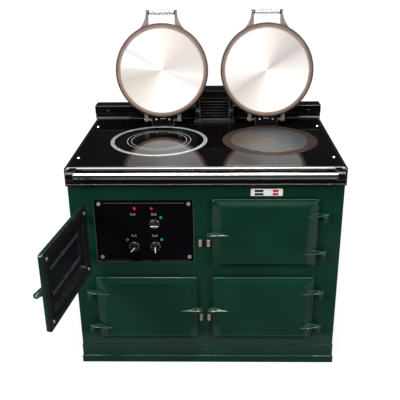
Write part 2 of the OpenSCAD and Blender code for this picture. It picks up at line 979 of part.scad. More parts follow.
module rim_profile() {
    face_edge_r = 4;
    back_edge_r = 3;
    inner_r = liner_r - liner_lap;
    difference() {
        translate([inner_r, 0])
            square([lid_r - inner_r, rim_h]);
        // the seat of the liner, and the space above it
        translate([inner_r - eps, -eps])
            square([liner_lap + eps, liner_seat_z + eps]);
        translate([inner_r - eps, liner_seat_z + rim_ledge_t])
            square([lid_r - inner_r - rim_wall + eps, rim_h]);
        translate([lid_r, 0])
            mirror([1, 0])
                edge_cut(face_edge_r);
        translate([lid_r, rim_h])
            mirror([1, 0])
                mirror([0, 1])
                    edge_cut(back_edge_r);
    }
}

module lid_frame() {
    color(iron_grey)
        difference() {
            union() {
                rotate_extrude($fn = 2 * $fn)
                    rim_profile();
                for (s = [0, 1])
                    mirror([s, 0, 0]) {
                        lid_arm();
                        hinge_lug();
                        translate([post_in - socket_t, -grip_reach, grip_lift])
                            rotate([0, 90, 0])
                                cylinder(r = socket_r, h = socket_t + eps);
                    }
            }
            // the inside of the rim stays clear of the lug webs
            translate([0, 0, liner_seat_z + rim_ledge_t])
                cylinder(r = lid_r - rim_wall, h = rim_h + eps);
            // the bores of the hinge and of the grip
            translate([-lug_x - lug_t, lid_hinge_back, lid_axis_z - lid_seat_z])
                rotate([0, 90, 0])
                    cylinder(r = lid_pin_r + run_gap, h = 2 * (lug_x + lug_t));
            translate([-post_in - post_t / 2, -grip_reach, grip_lift])
                rotate([0, 90, 0])
                    cylinder(r = grip_rod_r + run_gap, h = 2 * post_in + post_t);
        }
}

module lid_dome() {
    // a shallow cap that closes the rim
    cap_h = lid_h - rim_h;
    cap_r = (lid_r * lid_r + cap_h * cap_h) / (2 * cap_h);
    color(nickel)
        rotate_extrude($fn = 2 * $fn)
            difference() {
                intersection() {
                    translate([0, rim_h + fit_gap])
                        square([lid_r, cap_h]);
                    translate([0, lid_h - cap_r])
                        circle(r = cap_r, $fn = 4 * $fn);
                }
                intersection() {
                    translate([-eps, rim_h - eps])
                        square([lid_r - 2 * dome_t, cap_h + eps]);
                    translate([0, lid_h - cap_r])
                        circle(r = cap_r - 2 * dome_t, $fn = 4 * $fn);
                }
            }
}

module lid_liner() {
    color(polished)
        translate([0, 0, liner_in])
            union() {
                cylinder(r = liner_r - fit_gap, h = liner_plate_t);
                // the insulation pad that the lid holds
                translate([0, 0, liner_plate_t])
                    cylinder(r = liner_r - liner_lap - fit_gap, h = pad_t);
            }
}

module lid_grip_rod() {
    color(steel)
        translate([fit_gap - post_in - post_t / 2, -grip_reach, grip_lift])
            rotate([0, 90, 0])
                cylinder(r = grip_rod_r, h = 2 * post_in + post_t - 2 * fit_gap);
}

// The coil grip is one helical wire. Its radius swells to the middle, and each end turns off along
// the rod for one wire thickness and meets its socket square.
rings_per_curl = 8;
wire_sides = 6;
coil_span = 2 * (post_in - socket_t - 2 * wire_r);
coil_steps = curls * rings_per_curl;

function coil_radius(t) = coil_end_r + (coil_mid_r - coil_end_r) * sin(180 * t);
function coil_point(t) =
    let (turn = 360 * curls * t, r = coil_radius(t))
        [coil_span * (t - 0.5), r * cos(turn), r * sin(turn)];
function coil_out(t) = let (turn = 360 * curls * t) [0, cos(turn), sin(turn)];

coil_path = [
    coil_point(0) - [2 * wire_r, 0, 0],
    for (i = [0 : coil_steps]) coil_point(i / coil_steps),
    coil_point(1) + [2 * wire_r, 0, 0]
];
coil_outward = [
    coil_out(0),
    for (i = [0 : coil_steps]) coil_out(i / coil_steps),
    coil_out(1)
];

function unit(v) = v / norm(v);
function path_way(path, i) =
    let (last = len(path) - 1)
        i == 0 || i == last
            ? [1, 0, 0]
            : unit(unit(path[i] - path[i - 1]) + unit(path[i + 1] - path[i]));
function wire_ring(path, outward, i) =
    let (
        way = path_way(path, i),
        up = unit(outward[i] - way * (outward[i] * way)),
        across = cross(way, up)
    )
        [for (k = [0 : wire_sides - 1])
            path[i] + wire_r * (cos(360 * k / wire_sides) * up + sin(360 * k / wire_sides) * across)];

// Least distance between the surfaces of two neighbouring curls, measured on the path's points
coil_gap = min([
    for (i = [0 : len(coil_path) - rings_per_curl])
        for (j = [i + rings_per_curl - 2 : len(coil_path) - 1])
            norm(coil_path[i] - coil_path[j])
]) - 2 * wire_r;
echo(coil_gap = coil_gap);

module lid_coil() {
    rings = [for (i = [0 : len(coil_path) - 1]) wire_ring(coil_path, coil_outward, i)];
    points = [for (ring = rings) for (p = ring) p];
    last = len(rings) - 1;
    walls = [
        for (i = [0 : last - 1])
            for (k = [0 : wire_sides - 1])
                let (
                    a = i * wire_sides + k,
                    b = i * wire_sides + (k + 1) % wire_sides,
                    c = a + wire_sides,
                    d = b + wire_sides
                )
                    for (face = [[a, c, b], [b, c, d]]) face
    ];
    ends = [
        for (k = [1 : wire_sides - 2])
            for (face = [[0, k, k + 1],
                         [last * wire_sides, last * wire_sides + k + 1, last * wire_sides + k]])
                face
    ];
    color(nickel)
        translate([0, -grip_reach, grip_lift])
            polyhedron(points = points, faces = concat(walls, ends));
}

module lid_hinge_blocks() {
    color(enamel_black)
        for (x = [hob_x_left, hob_x_right])
            difference() {
                along_x(x - block_w, 2 * block_w)
                    union() {
                        translate([lid_axis_y, lid_axis_z])
                            circle(r = block_r);
                        translate([lid_axis_y - block_r, hob_h])
                            square([2 * block_r, lid_hinge_up]);
                        translate([lid_axis_y, hob_h])
                            square([block_back, lid_hinge_up - block_r / 2]);
                    }
                translate([x - block_w - eps, lid_axis_y, lid_axis_z])
                    rotate([0, 90, 0])
                        cylinder(r = lid_pin_r + run_gap, h = 2 * (block_w + eps));
            }
}

module lid_hinge_pins() {
    nut_seat = hob_h + lid_hinge_up - block_r / 2;
    nut_h = 7;
    pin_end = 2;
    color(nickel)
        for (x = [hob_x_left, hob_x_right]) {
            translate([x - lug_x - lug_t / 2 - pin_end, lid_axis_y, lid_axis_z])
                rotate([0, 90, 0])
                    cylinder(r = lid_pin_r, h = 2 * lug_x + lug_t + 2 * pin_end);
            for (s = [-1, 1])
                translate([x + s * stud_x, lid_axis_y + block_r + stud_r + 1, nut_seat])
                    cylinder(r = stud_r, h = nut_h);
        }
}

// ---- doors ----

// Puts a door that is drawn with its back's middle at the origin in its place on the front
module at_door(x, z) {
    translate([x, door_y, z])
        children();
}

// The same for the upper left door, turned open about its hinge
module at_open_door() {
    at_door(door_x_left, door_z_up)
        translate([-hinge_x, hinge_y, 0])
            rotate([0, 0, -door_open])
                translate([hinge_x, -hinge_y, 0])
                    children();
}

module door_skin() {
    crown_t = 1;
    hull() {
        upright_slab(door_w, door_h, door_r, door_edge, $fn = HULL_FN);
        translate([0, crown_t - door_crown, 0])
            upright_slab(door_w - 2 * crown_side, door_h - 2 * crown_end, door_r, crown_t, $fn = HULL_FN);
    }
}

// Radius of the points of the hinge arms and of the handles
tip_r = 1.5;

// Arm of a hinge: its eye is on the hinge axis and its point lies on the door's face
module hinge_arm(side) {
    root_w = 10;
    root_h = 0.7 * eye_h;
    hull() {
        translate([side * hinge_x, hinge_y, -eye_h / 2])
            cylinder(r = eye_r, h = eye_h, $fn = HULL_FN);
        translate([side * (door_w / 2 - arm_reach), -door_crown, 0])
            sphere(r = tip_r, $fn = TIP_FN);
        translate([side * (door_w / 2 - root_w), -door_edge / 2, 0])
            cube([root_w, door_edge / 2, root_h], center = true);
    }
}

module leaf_handle(side) {
    palm = 0.28 * handle_l;
    depth = handle_out - handle_gap;
    root_w = 12;
    root_y = 0.7 * door_edge;
    edge = door_w / 2;
    hull() {
        translate([-side * (edge + handle_over - palm / 2), -handle_gap - depth / 2, 0])
            scale([palm / handle_h, depth / handle_h, 1])
                sphere(d = handle_h, $fn = HULL_FN);
        translate([-side * (edge + handle_over - handle_l + tip_r), -door_crown, 0])
            sphere(r = tip_r, $fn = TIP_FN);
        translate([-side * (edge - root_w), -root_y, 0])
            cube([root_w, door_edge / 2, handle_h / 2], center = true);
    }
}

module door(side) {
    flange_gap = liner_t + 2 * fit_gap;
    inner_w = door_w - 2 * (door_rim + flange_w);
    inner_h = door_h - 2 * (door_rim + flange_w);
    color(enamel_green)
        difference() {
            union() {
                door_skin();
                leaf_handle(side);
                for (s = [-1, 1])
                    translate([0, 0, s * arm_z_fit])
                        hinge_arm(side);
            }
            // pocket for the liner's flange, and the deeper one for its dish
            translate([0, eps, 0])
                upright_slab(door_w - 2 * door_rim, door_h - 2 * door_rim, door_r, flange_gap + eps);
            translate([0, eps, 0])
                upright_slab(inner_w + 2 * dish_t + 2 * fit_gap, inner_h + 2 * dish_t + 2 * fit_gap,
                             door_r, dish + dish_t + 2 * fit_gap + eps);
            for (s = [-1, 1])
                translate([side * hinge_x, hinge_y, s * arm_z_fit - eye_h / 2 - eps])
                    cylinder(r = pin_r + run_gap, h = eye_h + 2 * eps);
        }
}

module door_liner() {
    inner_w = door_w - 2 * (door_rim + flange_w);
    inner_h = door_h - 2 * (door_rim + flange_w);
    color(liner_black)
        union() {
            difference() {
                union() {
                    translate([0, -fit_gap, 0])
                        upright_slab(door_w - 2 * door_rim - 2 * fit_gap, door_h - 2 * door_rim - 2 * fit_gap,
                                     door_r, liner_t);
                    translate([0, -fit_gap, 0])
                        upright_slab(inner_w + 2 * dish_t, inner_h + 2 * dish_t, door_r, dish + dish_t);
                }
                translate([0, eps, 0])
                    upright_slab(inner_w, inner_h, door_r - dish_t, dish + eps + fit_gap);
            }
            // two ribs across the dish
            for (s = [-1, 1])
                translate([-inner_w / 2 - dish_t / 2, -dish - fit_gap - dish_t / 2,
                           s * rib_z_fit - rib_w / 2])
                    cube([inner_w + dish_t, rib_h + dish_t / 2, rib_w]);
        }
}

module door_liner_screws() {
    sx = door_w / 2 - door_rim - flange_w / 2;
    sz = door_h / 2 - door_rim - flange_w / 2;
    head_r = 6;
    head_h = 3;
    slot_w = 2;
    slot_d = 1;
    color(nickel)
        at_open_door()
            for (px = [-1, 1], pz = [-1, 1])
                translate([px * sx, -fit_gap, pz * sz])
                    rotate([-90, 0, 0])
                        difference() {
                            cylinder(r = head_r, h = head_h);
                            translate([-slot_w / 2, -head_r - eps, head_h - slot_d])
                                cube([slot_w, 2 * head_r + 2 * eps, slot_d + eps]);
                        }
}

module door_hinge_brackets() {
    foot_w = 1.8 * eye_r;
    color(enamel_green)
        door_hinge_places()
            difference() {
                translate([0, 0, -knuckle_h - hinge_seat])
                    linear_extrude(height = knuckle_h)
                        union() {
                            circle(r = eye_r);
                            translate([-foot_w / 2, 0])
                                square([foot_w, hinge_proud]);
                        }
                translate([0, 0, -knuckle_h - hinge_seat - eps])
                    cylinder(r = pin_r + run_gap, h = knuckle_h + 2 * eps);
            }
}

// Every hinge axis, at the middle height of the door's eye
module door_hinge_places() {
    for (z = [door_z_low, door_z_up], s = [-1, 1], right = [0, 1])
        translate([right ? door_x_right + hinge_x : door_x_left - hinge_x,
                   front_y - hinge_proud, z + s * arm_z_fit])
            children();
}

module door_hinge_pins() {
    color(steel)
        door_hinge_places()
            translate([0, 0, -knuckle_h - hinge_seat])
                cylinder(r = pin_r, h = knuckle_h + hinge_seat + eye_h / 2 - 1);
}

module door_catches() {
    bead = catch_h / 3;
    bead_l = 0.7 * bead;
    neck = 0.72 * catch_r;
    color(nickel)
        for (z = [door_z_low, door_z_up], s = [-1, 1])
            translate([mullion_x + s * catch_x, front_y - catch_proud, z - catch_down - catch_h / 2])
                union() {
                    // three turned beads on a neck, and the stem back to the front plate
                    rotate_extrude()
                        union() {
                            square([neck, catch_h]);
                            for (k = [0 : 2])
                                translate([0, k * bead + (bead - bead_l) / 2])
                                    square([catch_r, bead_l]);
                        }
                    translate([-neck, 0, bead])
                        cube([2 * neck, catch_proud, bead]);
                }
}

// ---- controls ----

module on_panel(x, z) {
    translate([door_x_left + x, panel_y, door_z_up + z * control_fit])
        children();
}

module control_panel() {
    tray_d = 24;
    tray_t = 2;
    w = recess_w - 2 * fit_gap;
    h = recess_h - 2 * fit_gap;
    color(glass_black)
        difference() {
            union() {
                on_panel(0, 0)
                    translate([0, panel_t, 0])
                        upright_slab(w, h, mouth_r - fit_gap, panel_t);
                // the tray's flanges run back from the plate's edges
                on_panel(0, 0)
                    translate([0, tray_d, 0])
                        difference() {
                            upright_slab(w, h, mouth_r - fit_gap, tray_d - eps);
                            translate([0, eps, 0])
                                upright_slab(w - 2 * tray_t, h - 2 * tray_t,
                                             mouth_r - fit_gap - tray_t, tray_d + 2 * eps);
                        }
            }
            for (k = [KNOB_HOTPLATE, KNOB_OVEN, KNOB_HOB])
                on_panel(k[0], k[1])
                    translate([0, -eps, 0])
                        rotate([-90, 0, 0])
                            cylinder(r = spindle_r + run_gap, h = panel_t + 2 * eps);
            for (p = concat(RED_LAMPS, GREEN_LAMPS))
                on_panel(p[0], p[1])
                    translate([0, -eps, 0])
                        rotate([-90, 0, 0])
                            cylinder(r = neon_r - neon_lip + run_gap, h = panel_t + 2 * eps);
        }
}

module panel_frame() {
    w = recess_w - 2 * fit_gap;
    h = recess_h - 2 * fit_gap;
    lip_in = 1;
    lip = panel_recess - lip_in;
    corner_r = 2;
    color(steel)
        translate([door_x_left, panel_y, door_z_up])
            difference() {
                upright_slab(w, h, mouth_r - fit_gap, lip);
                translate([0, eps, 0])
                    upright_slab(w - 2 * trim_w, h - 2 * trim_w, corner_r, lip + 2 * eps);
            }
}

module panel_screws() {
    sx = recess_w / 2 - screw_in;
    sz = recess_h / 2 - screw_in;
    head_h = 4;
    socket_d = 2;
    color(nickel)
        for (px = [-1, 1], pz = [-1, 1])
            translate([door_x_left + px * sx, panel_y, door_z_up + pz * sz])
                rotate([90, 0, 0])
                    difference() {
                        cylinder(r = screw_r, h = head_h);
                        translate([0, 0, head_h - socket_d])
                            cylinder(r = screw_r / 2, h = socket_d + eps, $fn = 6);
                    }
}

// Width of a lamp's lip on the panel
neon_lip = 1;

module neon() {
    lens_h = 3;
    tail = 8;
    rotate([90, 0, 0])
        union() {
            cylinder(r = neon_r, h = lens_h);
            translate([0, 0, -panel_t - tail])
                cylinder(r = neon_r - neon_lip, h = panel_t + tail + eps);
        }
}

module red_neons() {
    color(lamp_red)
        for (p = RED_LAMPS)
            on_panel(p[0], p[1])
                neon();
}

module green_neons() {
    color(lamp_green)
        for (p = GREEN_LAMPS)
            on_panel(p[0], p[1])
                neon();
}

module knob(place) {
    bar_l = 2 * (skirt_r - 2);
    bar_y = -knob_gap - knob_skirt_t;
    color(glass_black)
        on_panel(place[0], place[1])
            rotate([0, place[2], 0])
                union() {
                    translate([0, -knob_gap, 0])
                        rotate([90, 0, 0])
                            cylinder(r = skirt_r, h = knob_skirt_t);
                    translate([0, bar_y + eps / 2, 0])
                        upright_slab(bar_w, bar_l, 0.4 * bar_w, knob_h + bar_y);
                    translate([0, panel_t + regulator_d / 2, 0])
                        rotate([90, 0, 0])
                            cylinder(r = spindle_r, h = panel_t + regulator_d / 2 + knob_gap + eps);
                }
}

module regulators() {
    color(steel)
        for (k = [KNOB_HOTPLATE, KNOB_OVEN, KNOB_HOB])
            on_panel(k[0], k[1])
                translate([0, panel_t, 0])
                    difference() {
                        translate([-regulator_w / 2, 0, -regulator_w / 2])
                            cube([regulator_w, regulator_d, regulator_w]);
                        translate([0, -eps, 0])
                            rotate([-90, 0, 0])
                                cylinder(r = spindle_r + run_gap, h = regulator_d / 2 + 2 * eps);
                    }
}

module heat_indicator() {
    // a little right of the door's middle, and lower than the middle of the space over the door
    right = 4;
    down = 8;
    corner_r = 3;
    z = (door_z_up + door_h / 2 + band_z) / 2 - down;
    color(pale)
        translate([door_x_right + right, front_y, z])
            upright_slab(indicator_w, indicator_h, corner_r, indicator_t);
}

// ---- ovens ----

module oven(x, z) {
    outer_w = mouth_w + 2 * oven_t;
    outer_h = mouth_h + 2 * oven_t;
    color(iron_grey)
        translate([x, oven_y, z])
            union() {
                difference() {
                    translate([0, oven_d, 0])
                        upright_slab(outer_w, outer_h, mouth_r, oven_d);
                    translate([0, oven_d - oven_t, 0])
                        upright_slab(mouth_w, mouth_h, mouth_r, oven_d);
                }
                // a shelf runner on each side wall
                for (s = [-1, 1])
                    translate([s > 0 ? mouth_w / 2 - runner_w : -mouth_w / 2 - eps, oven_t,
                               runner_z_fit - mouth_h / 2])
                        cube([runner_w + eps, oven_d - 3 * oven_t, runner_t]);
            }
}

module oven_shelf(x, z) {
    w = mouth_w - 2 * shelf_gap;
    d = oven_d - 5 * oven_t;
    step = (w - 4 * bar_r) / (bars - 1);
    cross_r = bar_r + 1;
    sink = 0.5;
    translate([x, oven_y + oven_t + shelf_gap, z - mouth_h / 2 + runner_z_fit + runner_t + cross_r])
        union() {
            for (y = [cross_r, d / 2, d - cross_r])
                translate([-w / 2, y, 0])
                    rotate([0, 90, 0])
                        cylinder(r = cross_r, h = w);
            for (i = [0 : bars - 1])
                translate([-w / 2 + 2 * bar_r + i * step, 0, bar_r + sink])
                    rotate([-90, 0, 0])
                        cylinder(r = bar_r, h = d);
        }
}

module oven_shelves() {
    color(steel)
        for (p = [[door_x_left, door_z_low], [door_x_right, door_z_up], [door_x_right, door_z_low]])
            oven_shelf(p[0], p[1]);
}

// Insulation packed behind and between the ovens
module insulation() {
    x = body_w / 2 - shell_t - pad_gap;
    oven_w = mouth_w + 2 * oven_t + 2 * fit_gap;
    oven_h = mouth_h + 2 * oven_t + 2 * fit_gap;
    high = door_z_up + mouth_h / 2 - runner_z_fit;
    mouth_clear = 100;
    y0 = oven_y + mouth_clear;
    y1 = back_y - shell_t - fit_gap - box_d;
    color(wool)
        difference() {
            translate([-x, y0, plinth_h])
                cube([2 * x, y1 - y0, high - plinth_h]);
            for (p = [[door_x_left, door_z_low], [door_x_right, door_z_up], [door_x_right, door_z_low]])
                translate([p[0] - oven_w / 2, y0 - eps, p[1] - oven_h / 2])
                    cube([oven_w, oven_y + oven_d + fit_gap - y0 + eps, oven_h]);
            // room for the elements over the lower ovens
            for (px = [door_x_left, door_x_right])
                translate([px - oven_w / 2, y0 - eps, door_z_low + oven_h / 2 - eps])
                    cube([oven_w, oven_y + oven_d - y0, 3 * element_r + eps]);
        }
}

// ---- supply ----

module terminal_box() {
    color(steel)
        translate([box_x, back_y - shell_t, box_z])
            difference() {
                translate([-box_w / 2, -box_d, -box_h / 2])
                    cube([box_w, box_d, box_h]);
                translate([box_t - box_w / 2, box_t - box_d, box_t - box_h / 2])
                    cube([box_w - 2 * box_t, box_d - 2 * box_t, box_h - 2 * box_t]);
                translate([0, -2 * box_t, 0])
                    rotate([-90, 0, 0])
                        cylinder(r = gland_shank_r + run_gap, h = 3 * box_t);
            }
}

module cable_gland() {
    inside = shell_t + box_t;
    color(glass_black)
        translate([box_x, back_y, box_z])
            rotate([-90, 0, 0])
                difference() {
                    union() {
                        cylinder(r = gland_r, h = gland_out);
                        translate([0, 0, -inside])
                            cylinder(r = gland_shank_r, h = inside + eps);
                    }
                    translate([0, 0, -inside - eps])
                        cylinder(r = gland_bore_r, h = inside + gland_out + 2 * eps);
                }
}

base_plate();
plinth();
front_plate();
side_panel(-1);  // side_panel_left
side_panel(1);  // side_panel_right
back_panel();
top_plate();
front_band();
rear_upstand();
flue_box();
vent_grille();
plate_nuts();
handrail();
rail_bracket(-1);  // rail_bracket_left
rail_bracket(1);  // rail_bracket_right
glass_hob();
hob_trim_ring();
cast_hotplate();
heating_elements();
lid_hinge_blocks();
lid_hinge_pins();
open_lid(hob_x_left) lid_frame();  // lid_frame_left
open_lid(hob_x_left) lid_dome();  // lid_dome_left
open_lid(hob_x_left) lid_liner();  // lid_liner_left
open_lid(hob_x_left) lid_grip_rod();  // lid_grip_rod_left
open_lid(hob_x_left) lid_coil();  // lid_coil_left
open_lid(hob_x_right) lid_frame();  // lid_frame_right
open_lid(hob_x_right) lid_dome();  // lid_dome_right
open_lid(hob_x_right) lid_liner();  // lid_liner_right
open_lid(hob_x_right) lid_grip_rod();  // lid_grip_rod_right
open_lid(hob_x_right) lid_coil();  // lid_coil_right
at_open_door() door(-1);  // door_upper_left
at_open_door() door_liner();  // door_liner_upper_left
door_liner_screws();
at_door(door_x_left, door_z_low) door(-1);  // door_lower_left
at_door(door_x_left, door_z_low) door_liner();  // door_liner_lower_left
at_door(door_x_right, door_z_up) door(1);  // door_upper_right
at_door(door_x_right, door_z_up) door_liner();  // door_liner_upper_right
at_door(door_x_right, door_z_low) door(1);  // door_lower_right
at_door(door_x_right, door_z_low) door_liner();  // door_liner_lower_right
door_hinge_brackets();
door_hinge_pins();
door_catches();
control_panel();
panel_frame();
panel_screws();
red_neons();
green_neons();
knob(KNOB_HOTPLATE);  // knob_hotplate
knob(KNOB_OVEN);  // knob_oven
knob(KNOB_HOB);  // knob_hob
regulators();
heat_indicator();
oven(door_x_right, door_z_up);  // roasting_oven
oven(door_x_right, door_z_low);  // simmering_oven
oven(door_x_left, door_z_low);  // warming_oven
oven_shelves();
insulation();
terminal_box();
cable_gland();
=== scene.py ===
import math

import bmesh
import bpy
from mathutils import Matrix, Vector


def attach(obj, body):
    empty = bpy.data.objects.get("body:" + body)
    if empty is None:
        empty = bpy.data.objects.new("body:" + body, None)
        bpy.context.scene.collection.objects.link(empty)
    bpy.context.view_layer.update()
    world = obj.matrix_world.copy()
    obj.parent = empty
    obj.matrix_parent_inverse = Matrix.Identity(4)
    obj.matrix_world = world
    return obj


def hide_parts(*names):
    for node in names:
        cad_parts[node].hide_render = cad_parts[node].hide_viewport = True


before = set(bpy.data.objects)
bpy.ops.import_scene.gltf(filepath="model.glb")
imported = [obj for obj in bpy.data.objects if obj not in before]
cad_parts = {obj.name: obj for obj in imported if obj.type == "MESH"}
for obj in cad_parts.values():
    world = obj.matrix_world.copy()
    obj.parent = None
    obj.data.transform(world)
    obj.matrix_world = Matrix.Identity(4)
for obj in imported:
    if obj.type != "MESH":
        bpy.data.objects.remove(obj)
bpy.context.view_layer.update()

MM = 0.001
scene = bpy.context.scene

# ---------------------------------------------------------------- camera
# fitted to the object's edges in the photo: metres, degrees, and pixels of the 400 x 400 frame
CAMERA_AT = (0.041389, -2.333911, 1.567778)
PHOTO_PX = 400.0
FOCAL_PX = 608.809
CENTRE_PX = (205.497, 184.209)
SENSOR_MM = 36.0

cam_data = bpy.data.cameras.new("camera")
camera = bpy.data.objects.new("camera", cam_data)
scene.collection.objects.link(camera)
scene.camera = camera
pitch, yaw, roll = math.radians(21.861), math.radians(-1.188), math.radians(-0.5626)
fwd = Vector((math.sin(yaw) * math.cos(pitch), math.cos(yaw) * math.cos(pitch), -math.sin(pitch)))
right = Vector((math.cos(yaw), -math.sin(yaw), 0.0))
up = right.cross(fwd)
r2 = right * math.cos(roll) + up * math.sin(roll)
u2 = up * math.cos(roll) - right * math.sin(roll)
rows = [(r2[i], u2[i], -fwd[i], CAMERA_AT[i]) for i in range(3)]
camera.matrix_world = Matrix(rows + [(0.0, 0.0, 0.0, 1.0)])
cam_data.sensor_width = SENSOR_MM
cam_data.sensor_fit = "HORIZONTAL"
cam_data.lens = FOCAL_PX / PHOTO_PX * SENSOR_MM
cam_data.shift_x = (PHOTO_PX / 2 - CENTRE_PX[0]) / PHOTO_PX
cam_data.shift_y = (CENTRE_PX[1] - PHOTO_PX / 2) / PHOTO_PX
cam_data.clip_start = 0.05
cam_data.clip_end = 100.0


# ---------------------------------------------------------------- node calls
def srgb(r, g, b):
    out = []
    for c in (r, g, b):
        c /= 255.0
        out.append(c / 12.92 if c <= 0.04045 else ((c + 0.055) / 1.055) ** 2.4)
    return tuple(out) + (1.0,)


class Nodes:
    """Short calls for the nodes of a tree; a value is a number, a colour or another node's output."""

    def __init__(self, tree):
        self.t = tree

    def put(self, value, socket):
        if isinstance(value, bpy.types.NodeSocket):
            self.t.links.new(value, socket)
        else:
            socket.default_value = value

    def node(self, kind, *values, **props):
        """A new node; the values go to its inputs in order."""
        n = self.t.nodes.new(kind)
        for key, value in props.items():
            setattr(n, key, value)
        for value, socket in zip(values, n.inputs):
            self.put(value, socket)
        return n

    def math(self, op, a, b=0.0):
        return self.node("ShaderNodeMath", a, b, operation=op).outputs[0]

    def mul(self, a, b):
        return self.math("MULTIPLY", a, b)

    def sub(self, a, b):
        return self.math("SUBTRACT", a, b)

    def most(self, a, b):
        return self.math("MAXIMUM", a, b)

    def length(self, a, b):
        return self.math("SQRT", self.math("ADD", self.mul(a, a), self.mul(b, b)))

    def span(self, value, lo, hi, to_lo=0.0, to_hi=1.0):
        """A smooth step from to_lo to to_hi as the value goes from lo to hi; lo may be over hi."""
        values = (value, lo, hi, to_lo, to_hi)
        return self.node("ShaderNodeMapRange", *values, interpolation_type="SMOOTHSTEP").outputs[0]

    def band(self, value, at, outer, inner, share=1.0):
        """Up to share where the value is nearer to at than inner, and 0 past outer."""
        return self.span(self.math("ABSOLUTE", self.sub(value, at)), outer, inner, 0.0, share)

    def split(self, vector):
        return self.node("ShaderNodeSeparateXYZ", vector).outputs


class Mat(Nodes):
    """A Principled material and the nodes that feed it."""

    def __init__(self, name, metal=0.0, rough=0.4, spec=0.5, **sockets):
        self.m = bpy.data.materials.new(name)
        self.m.use_nodes = True
        super().__init__(self.m.node_tree)
        self.s = self.t.nodes["Principled BSDF"]
        self.s.inputs["Metallic"].default_value = metal
        self.s.inputs["Roughness"].default_value = rough
        self.s.inputs["Specular IOR Level"].default_value = spec
        for key, value in sockets.items():
            self.s.inputs[key.replace("_", " ")].default_value = value
        self.where = self.node("ShaderNodeTexCoord").outputs["Object"]

    def xyz(self):
        return self.split(self.where)

    def radius(self, cx, cy):
        """Distance from an upright axis."""
        x, y, _ = self.xyz()
        return self.length(self.sub(x, cx), self.sub(y, cy))

    def noise(self, scale, detail=3.0, rough=0.55, vector=None):
        n = self.node("ShaderNodeTexNoise")
        n.inputs["Scale"].default_value = scale
        n.inputs["Detail"].default_value = detail
        n.inputs["Roughness"].default_value = rough
        self.put(vector or self.where, n.inputs["Vector"])
        return n.outputs["Fac"]

    def turned(self, r, per_metre, rough):
        """Noise that changes with the radius only, as turning marks do."""
        along = self.node("ShaderNodeCombineXYZ", self.mul(r, per_metre)).outputs[0]
        return self.noise(1.0, 3.0, rough, along)

    def ramp(self, value, *stops):
        n = self.node("ShaderNodeValToRGB", value)
        el = n.color_ramp.elements
        while len(el) < len(stops):
            el.new(0.5)
        for e, (at, colour) in zip(el, stops):
            e.position = at
            e.color = colour
        return n.outputs[0]

    def mix(self, fac, a, b):
        n = self.node("ShaderNodeMix", fac, data_type="RGBA")
        self.put(a, n.inputs[6])
        self.put(b, n.inputs[7])
        return n.outputs[2]

    def soft_edges(self, radius):
        """Rounds the shading of sharp edges and returns a mask of them."""
        n = self.node("ShaderNodeBevel", radius, samples=6)
        g = self.node("ShaderNodeNewGeometry")
        rounded = n.outputs["Normal"]
        d = self.node("ShaderNodeVectorMath", rounded, g.outputs["Normal"], operation="DOT_PRODUCT")
        self.put(rounded, self.s.inputs["Normal"])
        return self.span(d.outputs["Value"], 0.995, 0.9)

    def colour(self, value):
        self.put(value, self.s.inputs["Base Color"])

    def rough(self, value):
        self.put(value, self.s.inputs["Roughness"])

    def bump(self, height, strength, distance):
        n = self.node("ShaderNodeBump")
        n.inputs["Strength"].default_value = strength
        n.inputs["Distance"].default_value = distance
        self.put(height, n.inputs["Height"])
        old = self.s.inputs["Normal"]
        if old.is_linked:
            self.t.links.new(old.links[0].from_socket, n.inputs["Normal"])
        self.t.links.new(n.outputs["Normal"], old)


# ---------------------------------------------------------------- light and stage
scene.view_settings.view_transform = "Standard"
SOFT_LIGHT = 0.42
# what gloss sees over the horizon, by the height of its direction: a bright ceiling above dim studio walls,
# and on top of it a strong lamp overhead
CEILING = (0.66, 0.88, 0.03, 1.0)
OVERHEAD = (0.84, 0.94, 0.0, 4.5)

world = bpy.data.worlds.new("studio")
scene.world = world
world.use_nodes = True
w = Nodes(world.node_tree)
w.t.nodes.clear()
rays = w.node("ShaderNodeLightPath").outputs
height = w.split(w.node("ShaderNodeTexCoord").outputs["Generated"])["Z"]
gloss = w.math("ADD", w.span(height, *CEILING), w.span(height, *OVERHEAD))
soft = w.node("ShaderNodeBackground", (1.0, 0.99, 0.98, 1), SOFT_LIGHT)
white = w.node("ShaderNodeBackground", (1, 1, 1, 1), w.most(gloss, rays["Is Camera Ray"]))
direct = w.most(w.most(rays["Is Camera Ray"], rays["Is Glossy Ray"]), rays["Is Transmission Ray"])
both = w.node("ShaderNodeMixShader", direct, soft.outputs[0], white.outputs[0])
w.node("ShaderNodeOutputWorld", both.outputs[0])


def area(name, loc, aim, size, size_y, watts, spread):
    data = bpy.data.lights.new(name, "AREA")
    data.shape = "RECTANGLE"
    data.size, data.size_y, data.energy = size, size_y, watts
    data.spread = math.radians(spread)
    lamp = bpy.data.objects.new(name, data)
    scene.collection.objects.link(lamp)
    lamp.location = loc
    lamp.rotation_euler = (Vector(aim) - Vector(loc)).to_track_quat("-Z", "Y").to_euler()


area("key", (-2.6, -2.9, 2.6), (0, -0.1, 0.7), 1.3, 1.2, 8, 45)
area("overhead", (0.0, -1.0, 3.3), (0, -0.15, 0.8), 2.6, 0.9, 9, 90)
area("strip", (0.2, -0.7, 3.1), (0, -0.25, 0.8), 1.6, 0.08, 9, 100)
area("fill", (3.0, -2.6, 2.2), (0, -0.1, 0.7), 1.2, 1.3, 5, 45)

# ---------------------------------------------------------------- places shared by looks and pieces, in mm
SIDES = ("left", "right")
LID_X = {"left": -186.0, "right": 247.0}
HOB_Y = -55.0
# an open lid: its lean, and (y, z) of its middle and of its grip's rod
LID_LEAN = math.radians(12.0)
LID_MID = (190.2, 1064.6)
GRIP_AT = (238.1, 1293.6)


